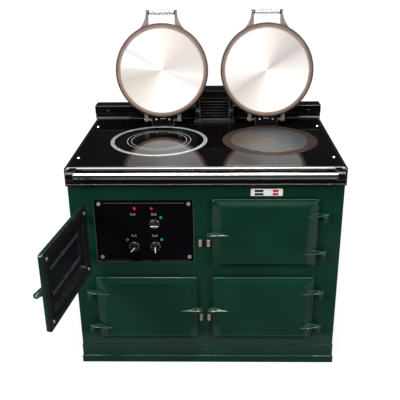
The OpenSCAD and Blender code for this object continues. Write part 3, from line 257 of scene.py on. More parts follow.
# ---------------------------------------------------------------- materials
def enamel(name, spec, lo, hi, fleck, edge_highlight_colour, edge_highlight_share, rough_lo, rough_hi,
           bevel=0.002, fine=False, coat=0.0):
    """Vitreous enamel whose edges get a paler tone, painted highlight; fine is for dense meshes, whose edges
    are found by their pointiness.
    """
    m = Mat(name, spec=spec, Coat_Weight=coat)
    if fine:
        edge = m.span(m.node("ShaderNodeNewGeometry").outputs["Pointiness"], 0.515, 0.56)
    else:
        edge = m.soft_edges(bevel)
    base = m.ramp(m.noise(5.0, 2.0), (0.3, lo), (0.7, hi))
    base = m.mix(m.span(m.noise(460.0, 2.0), 0.68, 0.8, 0.0, 0.6), base, fleck)
    # painted highlight: a paler tone along the edges, in the edge mask's share
    m.colour(m.mix(m.mul(edge, edge_highlight_share), base, edge_highlight_colour))
    m.rough(m.span(m.noise(9.0, 4.0), 0.3, 0.75, rough_lo, rough_hi))
    m.bump(m.noise(120.0, 2.0), 0.05, 0.0005)
    m.bump(m.noise(22.0, 1.0), 0.04, 0.003)
    return m.m


def lid_polar(m, centre_x):
    """Position across and up an open lid, and the distance from its middle, in metres."""
    x, y, z = m.xyz()
    u = m.sub(x, centre_x)
    up_y = m.mul(m.sub(y, LID_MID[0] * MM), math.sin(LID_LEAN))
    up_z = m.mul(m.sub(z, LID_MID[1] * MM), math.cos(LID_LEAN))
    v = m.math("ADD", up_y, up_z)
    return u, v, m.length(u, v)


# round a lid's face, each with its radius, half width, share and colour; the outermost, darkest band is
# painted shade where the rim rounds over
RIM_BANDS = ((0.1741, 0.0020, 0.75, (200, 166, 154)), (0.1780, 0.0022, 0.6, (148, 130, 120)),
             (0.1818, 0.0022, 0.55, (160, 138, 126)), (0.1882, 0.0052, 0.85, (74, 64, 58)))


def make_cast(name, centre=None):
    """Bare cast iron; with a lid's centre, also that lid's rim bands and its posts' dark tops."""
    m = Mat(name, metal=0.5, spec=0.3)
    edge = m.soft_edges(0.001)
    tones = (0.28, srgb(98, 80, 72)), (0.5, srgb(120, 102, 93)), (0.74, srgb(138, 121, 111))
    base = m.ramp(m.noise(14.0, 6.0, 0.65), *tones)
    base = m.mix(m.span(m.noise(60.0, 5.0, 0.7), 0.52, 0.72, 0.0, 0.4), base, srgb(78, 60, 52))
    if centre is not None:
        u, v, r = lid_polar(m, centre)
        # the outermost band is painted shade on the rim's rounded edge
        for at, half, share, tone in RIM_BANDS:
            base = m.mix(m.band(r, at, half, half * 0.65, share), base, srgb(*tone))
        base = m.mix(m.span(r, 0.1925, 0.1965, 0.0, 0.5), base, srgb(158, 148, 140))
        _, y, z = m.xyz()
        from_rod = m.length(m.sub(y, GRIP_AT[0] * MM), m.sub(z, GRIP_AT[1] * MM))
        boss = m.mul(m.span(from_rod, 0.0110, 0.0094), m.span(m.math("ABSOLUTE", u), 0.0560, 0.0548))
        base = m.mix(m.most(boss, m.span(v, 0.2405, 0.2418)), base, srgb(30, 25, 24))
    # painted highlight: a paler tone along the edges
    m.colour(m.mix(m.mul(edge, 0.5), base, srgb(170, 156, 146)))
    m.rough(m.span(m.noise(40.0, 5.0), 0.3, 0.7, 0.36, 0.55))
    m.bump(m.noise(420.0, 3.0), 0.2, 0.0006)
    return m.m


def make_disc(name, centre_x, stops):
    """Spun, polished aluminium: painted wedges of sheen round the middle, where lamps would glint, and fine
    turning marks.
    """
    m = Mat(name, metal=0.22, spec=0.5)
    u, v, r = lid_polar(m, centre_x)
    turn = m.math("ADD", m.math("DIVIDE", m.math("ARCTAN2", v, u), 2 * math.pi), 0.5)
    wobble = m.span(m.noise(3.0, 2.0), 0.0, 1.0, -0.006, 0.006)
    # painted sheen: lighter and darker wedges by the angle round the middle
    base = m.ramp(m.math("ADD", turn, wobble), *stops)
    lines = m.turned(r, 320.0, 0.6)
    base = m.mix(m.span(lines, 0.3, 0.75, 0.0, 0.07), base, srgb(176, 166, 158))
    base = m.mix(m.span(m.noise(4.0, 1.0, 0.5), 0.3, 0.8, 0.0, 0.08), base, srgb(206, 198, 192))
    m.colour(m.mix(m.span(r, 0.1715, 0.1735, 0.0, 0.5), base, srgb(150, 130, 116)))
    m.rough(m.span(m.noise(5.0, 1.0), 0.2, 0.8, 0.34, 0.42))
    m.bump(lines, 0.03, 0.0002)
    return m.m


def make_hotplate(cx, cy):
    """A cast hotplate: machined blue-grey face with heat tints, rust-brown ring round it."""
    m = Mat("hotplate_iron", spec=0.1)
    face_end = (0.146, 0.154)
    r = m.radius(cx, cy)
    ragged = m.math("ADD", r, m.span(m.noise(16.0, 4.0), 0.2, 0.8, -0.007, 0.007))
    tints = ((0.3, srgb(58, 70, 80)), (0.48, srgb(74, 80, 83)), (0.62, srgb(88, 78, 64)),
             (0.78, srgb(72, 60, 50)))
    rusts = ((0.3, srgb(36, 26, 23)), (0.6, srgb(54, 41, 35)), (0.8, srgb(74, 55, 45)))
    rings = m.turned(r, 1300.0, 0.8)
    face = m.ramp(m.noise(7.0, 5.0, 0.6), *tints)
    face = m.mix(m.span(rings, 0.35, 0.7, 0.0, 0.16), face, srgb(112, 112, 110))
    m.colour(m.mix(m.span(ragged, *face_end), face, m.ramp(m.noise(24.0, 5.0, 0.7), *rusts)))
    m.put(m.span(r, *face_end, 0.55, 0.15), m.s.inputs["Metallic"])
    uneven = m.span(m.noise(30.0, 4.0), 0.3, 0.7, 0.0, 0.14)
    m.rough(m.math("ADD", m.span(r, *face_end, 0.3, 0.5), uneven))
    m.bump(m.noise(380.0, 3.0), 0.15, 0.0006)
    m.bump(rings, 0.06, 0.0003)
    return m.m


def make_glass(cx, cy):
    """Black glass with two thin printed circles round the cooking zone."""
    m = Mat("hob_glass", spec=0.33)
    r = m.radius(cx, cy)
    base = m.ramp(m.noise(20.0, 3.0), (0.3, srgb(6, 6, 7)), (0.7, srgb(10, 10, 11)))
    for at in (0.108, 0.124):
        base = m.mix(m.band(r, at, 0.0012, 0.0006, 0.85), base, srgb(196, 196, 194))
    m.colour(base)
    m.rough(m.span(m.noise(24.0, 4.0), 0.3, 0.7, 0.02, 0.06))
    m.bump(m.noise(12.0, 2.0), 0.01, 0.0005)
    return m.m


def make_metal(name, lo, hi, rough_lo, rough_hi, metal=1.0):
    m = Mat(name, metal=metal)
    edge = m.soft_edges(0.0008)
    base = m.ramp(m.noise(18.0, 4.0, 0.6), (0.3, lo), (0.7, hi))
    # painted highlight: a near-white tone along the edges
    m.colour(m.mix(m.mul(edge, 0.3), base, srgb(232, 230, 228)))
    m.rough(m.span(m.noise(30.6, 4.0, 0.6), 0.3, 0.7, rough_lo, rough_hi))
    m.bump(m.noise(216.0, 2.0, 0.5), 0.03, 0.0003)
    return m.m


def make_plain(name, lo, hi, rough_lo, rough_hi, spec=0.3, bump=0.08, grain=400.0):
    m = Mat(name, spec=spec)
    edge = m.soft_edges(0.0006)
    base = m.ramp(m.noise(30.0, 4.0), (0.3, lo), (0.7, hi))
    # painted highlight: a little grey along the edges
    m.colour(m.mix(m.mul(edge, 0.12), base, srgb(150, 150, 150)))
    m.rough(m.span(m.noise(60.0, 3.0), 0.3, 0.7, rough_lo, rough_hi))
    m.bump(m.noise(grain, 2.0), bump, 0.0004)
    return m.m


def make_liner_iron(name, lo, hi):
    m = Mat(name)
    edge = m.soft_edges(0.002)
    base = m.ramp(m.noise(16.0, 6.0, 0.65), (0.3, lo), (0.72, hi))
    # painted highlight: a paler tone along the edges
    m.colour(m.mix(m.mul(edge, 0.6), base, srgb(92, 90, 98)))
    m.rough(m.span(m.noise(30.0, 5.0), 0.3, 0.7, 0.26, 0.46))
    m.bump(m.noise(260.0, 4.0), 0.25, 0.0008)
    return m.m


def make_catch():
    """Nickel-plated catches: three turned beads with painted shade in the grooves between them, in two rows.
    """
    foot, row_step, bead, between_rows = 0.20425, 0.3195, 0.0096667, 0.4
    m = Mat("catch_nickel", metal=0.5)
    edge = m.soft_edges(0.0008)
    z = m.xyz()["Z"]
    upper = m.math("GREATER_THAN", z, between_rows)
    along = m.sub(z, m.math("ADD", foot, m.mul(upper, row_step)))
    part = m.math("FRACT", m.math("DIVIDE", along, bead))
    groove_shade = m.span(m.math("MINIMUM", part, m.sub(1.0, part)), 0.24, 0.10)
    base = m.ramp(m.noise(30.0, 4.0), (0.3, srgb(196, 178, 168)), (0.7, srgb(222, 208, 198)))
    # painted highlight: a near-white tone along the edges
    base = m.mix(m.mul(edge, 0.3), base, srgb(236, 232, 228))
    # painted shade in the grooves between the beads
    m.colour(m.mix(m.mul(groove_shade, 0.85), base, srgb(56, 36, 34)))
    m.rough(m.span(m.noise(40.0, 4.0), 0.3, 0.7, 0.16, 0.28))
    return m.m


# painted sheen: stops of lighter and darker wedges round each lid's disc, standing for lamp highlights
def painted_sheen_stops(*pairs):
    return [(at, tuple(min(0.97, v * 1.1) for v in srgb(*c)[:3]) + (1.0,)) for at, c in pairs]


PAINTED_SHEEN = {"left": painted_sheen_stops(
    (0.0, (212, 205, 200)), (0.04, (196, 187, 181)), (0.09, (208, 199, 191)), (0.16, (226, 219, 212)),
    (0.22, (240, 237, 233)), (0.33, (242, 240, 237)), (0.40, (238, 235, 231)), (0.44, (220, 215, 212)),
    (0.475, (234, 230, 227)), (0.50, (220, 213, 210)), (0.55, (204, 198, 196)), (0.62, (206, 198, 193)),
    (0.70, (224, 216, 208)), (0.75, (232, 227, 220)), (0.80, (242, 240, 237)), (0.89, (238, 236, 234)),
    (0.915, (214, 208, 206)), (0.94, (238, 236, 234)), (0.985, (230, 226, 222)), (1.0, (212, 205, 200))),
    "right": painted_sheen_stops(
    (0.0, (236, 233, 229)), (0.05, (222, 216, 211)), (0.095, (192, 184, 179)), (0.14, (206, 198, 192)),
    (0.21, (230, 226, 221)), (0.30, (242, 240, 237)), (0.44, (240, 238, 235)), (0.50, (232, 228, 225)),
    (0.56, (214, 207, 204)), (0.60, (188, 179, 177)), (0.66, (202, 194, 190)), (0.72, (226, 220, 214)),
    (0.80, (238, 235, 231)), (0.90, (242, 240, 238)), (0.95, (232, 228, 225)), (1.0, (236, 233, 229)))}
DISC = {side: make_disc("polished_liner_" + side, LID_X[side] * MM, PAINTED_SHEEN[side]) for side in SIDES}
LID_IRON = {side: make_cast("lid_iron_" + side, LID_X[side] * MM) for side in SIDES}

# the darker and lighter tone of an enamel, and its flecks
GREEN = (srgb(9, 46, 33), srgb(13, 55, 41), srgb(24, 66, 50))
BLACK = (srgb(9, 7, 8), srgb(15, 12, 13), srgb(34, 30, 30))
TOP_BLACK = (srgb(6, 5, 5), srgb(12, 9, 9), srgb(30, 26, 26))
GRILLE_BLACK = (srgb(10, 8, 9), srgb(17, 14, 15), srgb(34, 30, 30))
# each enamel's pale edge colour and share is painted highlight along its edges
SLOT = {
    "green_enamel": enamel("vitreous_green", 0.45, *GREEN, srgb(64, 94, 82), 0.5, 0.04, 0.08, 0.0018),
    "black_enamel": enamel("vitreous_black", 0.4, *BLACK, srgb(150, 143, 140), 0.7, 0.05, 0.10, 0.0022),
    "cast_iron": make_cast("bare_cast_iron"),
    "hotplate_iron": make_hotplate(LID_X["right"] * MM, HOB_Y * MM),
    "liner_iron": make_liner_iron("liner_iron", srgb(13, 12, 16), srgb(32, 30, 35)),
    "polished_liner": DISC["left"],
    "chrome": make_metal("chrome", srgb(222, 220, 218), srgb(234, 232, 231), 0.04, 0.09),
    "nickel": make_metal("nickel", srgb(190, 172, 162), srgb(214, 198, 188), 0.16, 0.26, 0.5),
    "steel": make_metal("steel", srgb(150, 154, 158), srgb(176, 180, 184), 0.2, 0.3),
    "hob_glass": make_glass(LID_X["left"] * MM, HOB_Y * MM),
    "panel_black": make_plain("panel_black", srgb(5, 4, 8), srgb(9, 8, 12), 0.16, 0.26, 0.12, 0.03),
    "black_plastic": make_plain("black_plastic", srgb(20, 20, 20), srgb(30, 30, 30), 0.4, 0.5),
    "red_lens": make_plain("red_lens", srgb(230, 14, 18), srgb(255, 40, 36), 0.12, 0.2, 0.5),
    "green_lens": make_plain("green_lens", srgb(4, 142, 92), srgb(16, 174, 118), 0.12, 0.2, 0.5),
    "indicator": make_plain("indicator", srgb(240, 237, 234), srgb(250, 248, 246), 0.3, 0.4),
    "mineral_wool": make_plain("mineral_wool", srgb(172, 160, 130), srgb(206, 196, 168), 0.9, 1.0,
                               bump=0.6, grain=200.0),
}
# the pale edge tones here are painted highlight, strongest on the handles and hinge arms
GREEN_FINE = enamel("vitreous_green_fine", 0.45, *GREEN, srgb(64, 94, 82), 0.5, 0.04, 0.08, fine=True)
GREEN_BRIGHT = enamel("vitreous_green_castings", 0.42, *GREEN, srgb(96, 124, 112), 0.6, 0.05, 0.1,
                      fine=True, coat=0.05)
BLACK_TOP = enamel("vitreous_black_top", 0.15, *TOP_BLACK, srgb(40, 36, 36), 0.3, 0.04, 0.08)
BLACK_ROLL = enamel("vitreous_black_roll", 1.0, *BLACK, srgb(60, 56, 54), 0.3, 0.04, 0.08, 0.001, coat=1.0)
BRIGHT = make_metal("bright_wire", srgb(212, 211, 210), srgb(232, 231, 230), 0.1, 0.18, 0.45)
LINER_FINE = make_liner_iron("liner_iron_pan", srgb(11, 10, 13), srgb(27, 25, 30))
# painted highlight: a paler copy of the liner iron for the rib tops
LINER_RIB_HIGHLIGHT = make_liner_iron("liner_iron_worn", srgb(46, 43, 51), srgb(80, 76, 86))

# nodes whose look isn't their slot's
OWN = {
    # painted highlight: pale edges on the louvres
    "vent_grille": enamel("vitreous_black_grille", 0.4, *GRILLE_BLACK, srgb(120, 112, 106), 0.8, 0.08, 0.14,
                          0.0011),
    "door_catches": make_catch(),
}
for side in SIDES:
    OWN["lid_frame_" + side] = LID_IRON[side]
    OWN["lid_liner_" + side] = DISC[side]
    OWN["lid_grip_rod_" + side] = BRIGHT

for name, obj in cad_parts.items():
    slot = obj.material_slots[0].material.name.split(".")[0]
    for s in obj.material_slots:
        s.material = OWN.get(name, SLOT[slot])


# ---------------------------------------------------------------- mesh helpers
def piece(name, verts, faces, mats, body, replaces=(), sharp=35.0, face_mats=None, turn=None):
    """A smooth-shaded mesh in millimetres of the row frame, riding on a body."""
    if turn:
        verts = [turn(v) for v in verts]
    me = bpy.data.meshes.new(name)
    me.from_pydata([(x * MM, y * MM, z * MM) for x, y, z in verts], [], faces)
    for m in (mats if isinstance(mats, (list, tuple)) else [mats]):
        me.materials.append(m)
    me.polygons.foreach_set("use_smooth", [True] * len(me.polygons))
    if face_mats:
        me.polygons.foreach_set("material_index", face_mats)
    me.validate()
    me.update()
    bm_fix(me)
    me.set_sharp_from_angle(angle=math.radians(sharp))
    ob = bpy.data.objects.new(name, me)
    scene.collection.objects.link(ob)
    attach(ob, body)
    if replaces:
        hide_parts(*replaces)
    return ob


def bm_fix(me):
    """Merges doubled points and turns every face outwards."""
    bm = bmesh.new()
    bm.from_mesh(me)
    bmesh.ops.remove_doubles(bm, verts=bm.verts, dist=1e-6)
    bmesh.ops.recalc_face_normals(bm, faces=bm.faces)
    bm.to_mesh(me)
    bm.free()


def skin(rings, cap_start=False, cap_end=False):
    """Quads between rings of equal point counts."""
    verts, faces = [], []
    n = len(rings[0])
    for r in rings:
        verts += r
    for k in range(len(rings) - 1):
        for i in range(n):
            j = (i + 1) % n
            faces.append((k * n + i, k * n + j, (k + 1) * n + j, (k + 1) * n + i))
    if cap_start:
        faces.append(tuple(range(n))[::-1])
    if cap_end:
        faces.append(tuple(range((len(rings) - 1) * n, len(rings) * n)))
    return verts, faces


def join(*parts):
    """One mesh of several (verts, faces) parts."""
    verts, faces = [], []
    for v, f in parts:
        base = len(verts)
        verts += v
        faces += [tuple(i + base for i in face) for face in f]
    return verts, faces


def round_rect(cx, cz, a, b, r, y, per=7, side=1):
    """A rounded rectangle in the plane y: per points to a corner, and each edge in side parts."""
    r = max(min(r, a - 0.01, b - 0.01), 0.01)
    out = []
    corners = ((a - r, b - r, 0), (-(a - r), b - r, 90), (-(a - r), -(b - r), 180), (a - r, -(b - r), 270))
    for px, pz, a0 in corners:
        for i in range(per):
            t = math.radians(a0 + 90.0 * i / (per - 1))
            out.append((cx + px + r * math.cos(t), y, cz + pz + r * math.sin(t)))
    full = []
    for q in range(4):
        full += out[q * per:(q + 1) * per]
        p, n = out[(q + 1) * per - 1], out[((q + 1) * per) % (4 * per)]
        for k in range(1, side):
            full.append(tuple(p[i] + (n[i] - p[i]) * k / side for i in range(3)))
    return full


def lathe(profile, steps, centre, axis="z"):
    """Turns (radius, height) pairs about an axis; a zero radius closes the end."""
    rings = []
    for r, h in profile:
        ring = []
        for i in range(steps):
            t = 2 * math.pi * i / steps
            c, s = max(r, 1e-4) * math.cos(t), max(r, 1e-4) * math.sin(t)
            p = {"z": (c, s, h), "y": (c, -h, s), "x": (h, c, s)}[axis]
            ring.append(tuple(p[k] + centre[k] for k in range(3)))
        rings.append(ring)
    return skin(rings, cap_start=True, cap_end=True)


def tube(path, radius, sides):
    """A round tube along a path, closed at its ends."""
    pts = [Vector(p) for p in path]
    tang = [(pts[min(i + 1, len(pts) - 1)] - pts[max(i - 1, 0)]).normalized() for i in range(len(pts))]
    normal = tang[0].orthogonal().normalized()
    rings = []
    for p, t in zip(pts, tang):
        normal = (normal - t * normal.dot(t)).normalized()
        side = t.cross(normal)
        rings.append([tuple(p + (normal * math.cos(a) + side * math.sin(a)) * radius)
                      for a in (2 * math.pi * k / sides for k in range(sides))])
    return skin(rings, cap_start=True, cap_end=True)


def rise(t):
    """A smooth step from 0 to 1."""
    t = max(0.0, min(1.0, t))
    return t * t * (3 - 2 * t)


# ---------------------------------------------------------------- doors
# millimetres; a depth counts forwards from the front plate's face
FRONT = -332.0
DOOR_W, DOOR_H = 383.0, 273.5
CORNER_R = 10
# the rounded rim of a door's face, how far it turns, and the bevel's width inside it
ROLL = 6.0
ROLL_TURN = math.radians(62)
SLOPE_X, SLOPE_Z = 46.0, 32.0
# the rim's depth, the face's at the bevel's inner end, and the crown's top
EDGE_D, FACE_D, CROWN_D = 18.0, 33.3, 33.9
# the rear of a door's edge is black: the liner's flange, and painted shade of the gap round a closed door
FLANGE_D = 4.5
PER_CORNER, PER_SIDE = 7, 8
# the hinge axis: outwards from the door's edge, and in front of the plate
HINGE_OUT, HINGE_D = 24.0, 25.0
ARM_Z = (75.0, -75.0)
OPEN_DEGREES = 98.0
# the four doors' middles
LEFT_X, RIGHT_X, UPPER_Z, LOWER_Z = -225.5, 213.5, 576.25, 256.75


def slope_rise(t):
    """0 to 1 up the door's bevel: straight, then rounding over onto the flat face."""
    t = max(0.0, min(1.0, t))
    bend = 0.5
    k = 2 / (1 + bend)
    return k * t if t < bend else k * bend + (1 - k * bend) * (1 - ((1 - t) / (1 - bend)) ** 2)


def slope_depth(t):
    return EDGE_D + (FACE_D - EDGE_D) * slope_rise(t)


def depth_at(dx):
    """Depth of the door's face at an inset from its side edge, well away from its top and bottom."""
    return slope_depth((dx - ROLL) / (SLOPE_X - ROLL))


def pillow(cx, cz):
    """A door's skin: the pocket in its back for the liner, the rim, the bevel and the crowned face."""
    rings = []

    def ring(ix, iz, r, h):
        rings.append(round_rect(cx, cz, DOOR_W / 2 - ix, DOOR_H / 2 - iz, r, FRONT - h, PER_CORNER, PER_SIDE))

    for inset, r, h in ((41, 4, 24.4), (40.6, 4, 8.6), (11.1, 4, 8.4), (10.9, 4, 1.0), (10.4, 4, 0.3),
                        (1.2, 9, 0.3), (0.3, CORNER_R, 0.8), (0, CORNER_R, 1.8), (0, CORNER_R, FLANGE_D),
                        (0, CORNER_R, EDGE_D - ROLL)):
        ring(inset, inset, r, h)
    for k in range(1, 9):
        a = ROLL_TURN * k / 8
        inset = ROLL * (1 - math.cos(a)) / (1 - math.cos(ROLL_TURN))
        ring(inset, inset, CORNER_R - inset * 0.6, EDGE_D - ROLL + ROLL * math.sin(a) / math.sin(ROLL_TURN))
    steps = 22
    for k in range(1, steps + 1):
        t = k / steps
        ring(ROLL + (SLOPE_X - ROLL) * t, ROLL + (SLOPE_Z - ROLL) * t, 7 - 4 * min(1, t * 3), slope_depth(t))
    for k in range(1, 7):
        t = k / 7
        ix = SLOPE_X + (DOOR_W / 2 - SLOPE_X) * t
        iz = SLOPE_Z + (DOOR_H / 2 - SLOPE_Z) * t
        ring(ix, iz, 3, FACE_D + (CROWN_D - FACE_D) * (1 - (1 - t) ** 2))
    return skin(rings, cap_start=True, cap_end=True)


def leaf(x_of, z0, half_h, back, ridge, steps):
    """A ridged leaf along x: x_of(s) places a station, half_h, back and ridge give its section."""
    across, crest = 10, 0.3
    rings = []
    for k in range(steps + 1):
        s = k / steps
        hz = max(half_h(s), 0.15)
        hb, hr = back(s), ridge(s)
        ring = []
        for q in range(-across, across + 1):
            u = q / across
            from_crest = (u - crest) / ((1 - crest) if u > crest else (1 + crest))
            lift = (1 - abs(from_crest) ** 1.35) * 0.82 + 0.18
            ring.append((x_of(s), FRONT - (hb + (hr - hb) * lift), z0 + hz * u))
        ring.append((x_of(s), FRONT - hb, z0 + hz * 0.85))
        ring.append((x_of(s), FRONT - hb, z0 - hz * 0.85))
        rings.append(ring)
    return skin(rings, cap_start=True, cap_end=True)


def leaf_handle(edge_x, inward, cz):
    """The finger pull: past the door's edge at its thick end, down to a point on the crowned face."""
    over, length, widest = 17.4, 86.4, 0.2
    half_high, back_d, root_d, top_d, tip_d = 10.2, 24.5, 36.5, 41.9, 33.9

    def x_of(s):
        return edge_x + inward * (-over + length * s)

    def half_h(s):
        if s < widest:
            return half_high * math.sin(math.pi / 2 * (0.2 + 0.8 * s / widest)) ** 0.8
        return half_high * (1 - (s - widest) / (1 - widest)) ** 1.08 + 0.3

    def back(s):
        d = -over + length * s
        if d < 0:
            return back_d + 2.0 * max(0.0, 1 - s / widest)
        return back_d + (depth_at(d) - 1.5 - back_d) * rise(d / 9.0)

    def ridge(s):
        if s < widest:
            return root_d + (top_d - root_d) * math.sin(math.pi / 2 * s / widest)
        return top_d - (top_d - tip_d) * ((s - widest) / (1 - widest)) ** 0.85

    return leaf(x_of, cz, half_h, back, ridge, 26)


def hinge_arm(edge_x, inward, z0):
    """A hinge strap from the eye over the door's edge, ending in a point on the crowned face."""
    axis_x = edge_x - inward * HINGE_OUT
    tip_x = edge_x + inward * 52.0
    back_d, top_d, tip_d = 16.0, 38.2, 33.9

    def x_of(s):
        return axis_x + (tip_x - axis_x) * s

    def half_h(s):
        if s < 0.3:
            return 6.4 + 0.4 * rise(s / 0.3)
        return 6.8 * (1 - (s - 0.3) / 0.7) ** 0.85 + 0.25

    def back(s):
        d = abs(tip_x - axis_x) * s - HINGE_OUT
        if d < 0:
            return back_d
        return back_d + (depth_at(d) - 1.5 - back_d) * rise(d / 6.0)

    def ridge(s):
        if s < 0.75:
            return 33.0 + 5.6 * math.sin(math.pi * (s * 0.62 + 0.02)) ** 1.2
        return top_d - (top_d - tip_d) * rise((s - 0.75) / 0.25)

    arm = leaf(x_of, z0, half_h, back, ridge, 24)
    half_eye = [(4.2, 7.5), (8.6, 7.5), (9.4, 6.7), (9.5, 5.6)]
    eye = [(r, -h) for r, h in half_eye] + half_eye[::-1]
    return join(arm, lathe(eye, 40, (axis_x, FRONT - HINGE_D, z0)))


def liner_pan(cx, cz):
    """The cast pan on a door's back: a flat flange, a dish and two broad ribs across it."""
    out_x, out_z, in_x, in_z, ramp, deep = 180.1, 125.4, 147.0, 92.2, 8.0, 20.5
    rib_z, rib_half, rib_high, rim_d = 46, 12.0, 7.0, 7.4

    def stations(outer, inner, extra):
        """Grid lines on both sides of the middle, closer where the dish's wall is."""
        ramps = [inner - ramp * k / 7 for k in range(8)]
        half = [outer, outer - 0.7, (outer + inner) / 2] + ramps + [v for v in extra if v < inner - ramp - 1]
        half = sorted(set(round(v, 3) for v in half))
        return [-v for v in reversed(half) if v > 0] + half

    xs = stations(out_x, in_x, [0.0, 30, 60, 90, 110, 125, 132])
    zs = stations(out_z, in_z, [0.0, 15.0] + [rib_z + 13 * k / 6 for k in range(-6, 7)] + [72.0])

    def depth(x, z):
        dish = rise((in_x - abs(x)) / ramp) * rise((in_z - abs(z)) / ramp)
        t = abs(abs(z) - rib_z) / rib_half
        rib = (1 - rise((t - 0.3) / 0.7)) * rise((in_x - 6 - abs(x)) / 6.0)
        edge = 0.8 if abs(x) > out_x - 0.1 or abs(z) > out_z - 0.1 else 0.0
        return 0.35 + edge + deep * dish - rib_high * rib, rib

    verts = [(cx + x, FRONT - depth(x, z)[0], cz + z) for z in zs for x in xs]
    faces, rib_highlight = [], []
    n, m = len(xs), len(zs)
    for r in range(m - 1):
        for c in range(n - 1):
            faces.append((r * n + c, r * n + c + 1, (r + 1) * n + c + 1, (r + 1) * n + c))
            # the rib tops get the paler liner material, painted highlight
            rib = depth((xs[c] + xs[c + 1]) / 2, (zs[r] + zs[r + 1]) / 2)[1]
            rib_highlight.append(1 if rib > 0.75 else 0)
    border = [c for c in range(n)] + [r * n + n - 1 for r in range(1, m)]
    border += [(m - 1) * n + c for c in range(n - 2, -1, -1)] + [r * n for r in range(m - 2, 0, -1)]
    base = len(verts)
    verts += [(verts[i][0], FRONT - rim_d, verts[i][2]) for i in border]
    for k in range(len(border)):
        j = (k + 1) % len(border)
        faces.append((border[k], border[j], base + j, base + k))
        rib_highlight.append(0)
    return verts, faces, rib_highlight


def door(tag, cx, cz, hinge_side, turn=None):
    body = tag + "_door"
    edge_hinge = cx + hinge_side * DOOR_W / 2
    edge_free = cx - hinge_side * DOOR_W / 2
    v, f = pillow(cx, cz)
    # the first eight bands and the cap behind them are the black rear, flange and painted shade of the gap;
    # the last two faces are the caps
    rear = 8 * 4 * (PER_CORNER - 1 + PER_SIDE)
    black = [1] * rear + [0] * (len(f) - rear - 2) + [1, 0]
    piece("door_skin_" + tag, v, f, [GREEN_FINE, SLOT["liner_iron"]], body, ("door_" + tag,),
          turn=turn, face_mats=black)
    v, f, rib_highlight = liner_pan(cx, cz)
    piece("liner_pan_" + tag, v, f, [LINER_FINE, LINER_RIB_HIGHLIGHT], body, ("door_liner_" + tag,),
          sharp=60, turn=turn, face_mats=rib_highlight)
    v, f = leaf_handle(edge_free, hinge_side, cz)
    piece("door_handle_" + tag, v, f, GREEN_BRIGHT, body, (), sharp=50, turn=turn)
    for i, dz in enumerate(ARM_Z):
        v, f = hinge_arm(edge_hinge, -hinge_side, cz + dz)
        name = "hinge_arm_%s_%d" % (tag, i + 1)
        piece(name, v, f, GREEN_BRIGHT, body, (), sharp=50, turn=turn)


def swing_open(point):
    """Turns a point of the upper left door about its hinge, to where the photo shows it."""
    x, y, z = point
    x0, y0 = LEFT_X - DOOR_W / 2 - HINGE_OUT, FRONT - HINGE_D
    c, s = math.cos(math.radians(-OPEN_DEGREES)), math.sin(math.radians(-OPEN_DEGREES))
    return (x0 + c * (x - x0) - s * (y - y0), y0 + s * (x - x0) + c * (y - y0), z)


door("upper_right", RIGHT_X, UPPER_Z, 1)
door("lower_right", RIGHT_X, LOWER_Z, 1)
door("lower_left", LEFT_X, LOWER_Z, -1)
door("upper_left", LEFT_X, UPPER_Z, -1, swing_open)


# ---------------------------------------------------------------- top plate
def top_plate():
    half_x, half_y, mid_y, corner = 493.5, 349, -17, 12
    skirt_z, front_skirt_z, roll_z, top_z = 770, 828.0, 829, 840
    roll_in, around = 16, 128
    # the skirt's lower edge steps up between these two lines
    step_y = (-319.95, -320.05)

    def outline(inset, z):
        """The plate's edge; without a z it is the skirt's lower edge, which is higher at the front."""
        r = max(corner - inset * 0.5, 3)
        pts = [(x, y) for x, _, y in round_rect(0, mid_y, half_x - inset, half_y - inset, r, 0, per=8)]
        out = []
        for i, p in enumerate(pts):
            out.append(p)
            q = pts[(i + 1) % len(pts)]
            if abs(p[0] - q[0]) < 0.01 and abs(p[1] - q[1]) > 100:
                out += [(p[0], y) for y in (step_y if p[1] > q[1] else step_y[::-1])]
        if z is None:
            return [(x, y, front_skirt_z if y < -320 else skirt_z) for x, y in out]
        return [(x, y, z) for x, y in out]

    def raised(ring, dz):
        return [(x, y, z + dz) for x, y, z in ring]

    rings = [raised(outline(8, None), 2), outline(8, None), outline(0.8, None), raised(outline(0, None), 0.8)]
    for k in range(0, 9):
        a = math.radians(90 * k / 8)
        rings.append(outline(roll_in * (1 - math.cos(a)), roll_z + (top_z - roll_z) * math.sin(a)))
    rings.append(outline(roll_in + 1, top_z))
    bm = bmesh.new()
    loops, wells = [rings[-1]], []
    for side, r in (("left", 189.4), ("right", 185.5)):
        turns = [2 * math.pi * i / around for i in range(around)]
        circle = [(LID_X[side] + r * math.cos(a), HOB_Y + r * math.sin(a), top_z) for a in turns]
        loops.append(circle)
        wells.append(skin([raised(circle, -2.0), circle]))
    for loop in loops:
        vs = [bm.verts.new(p) for p in loop]
        for i in range(len(vs)):
            bm.edges.new((vs[i], vs[(i + 1) % len(vs)]))
    bmesh.ops.triangle_fill(bm, use_beauty=True, use_dissolve=False, edges=bm.edges[:])
    bm.verts.index_update()
    flat = ([tuple(v.co) for v in bm.verts], [tuple(v.index for v in f.verts) for f in bm.faces])
    bm.free()
    verts, faces = join(skin(rings), *wells, flat)
    tops = [0] * (len(faces) - len(flat[1])) + [1] * len(flat[1])
    piece("top_casting", verts, faces, [BLACK_ROLL, BLACK_TOP], "root", ("top_plate",),
          sharp=40, face_mats=tops)


top_plate()


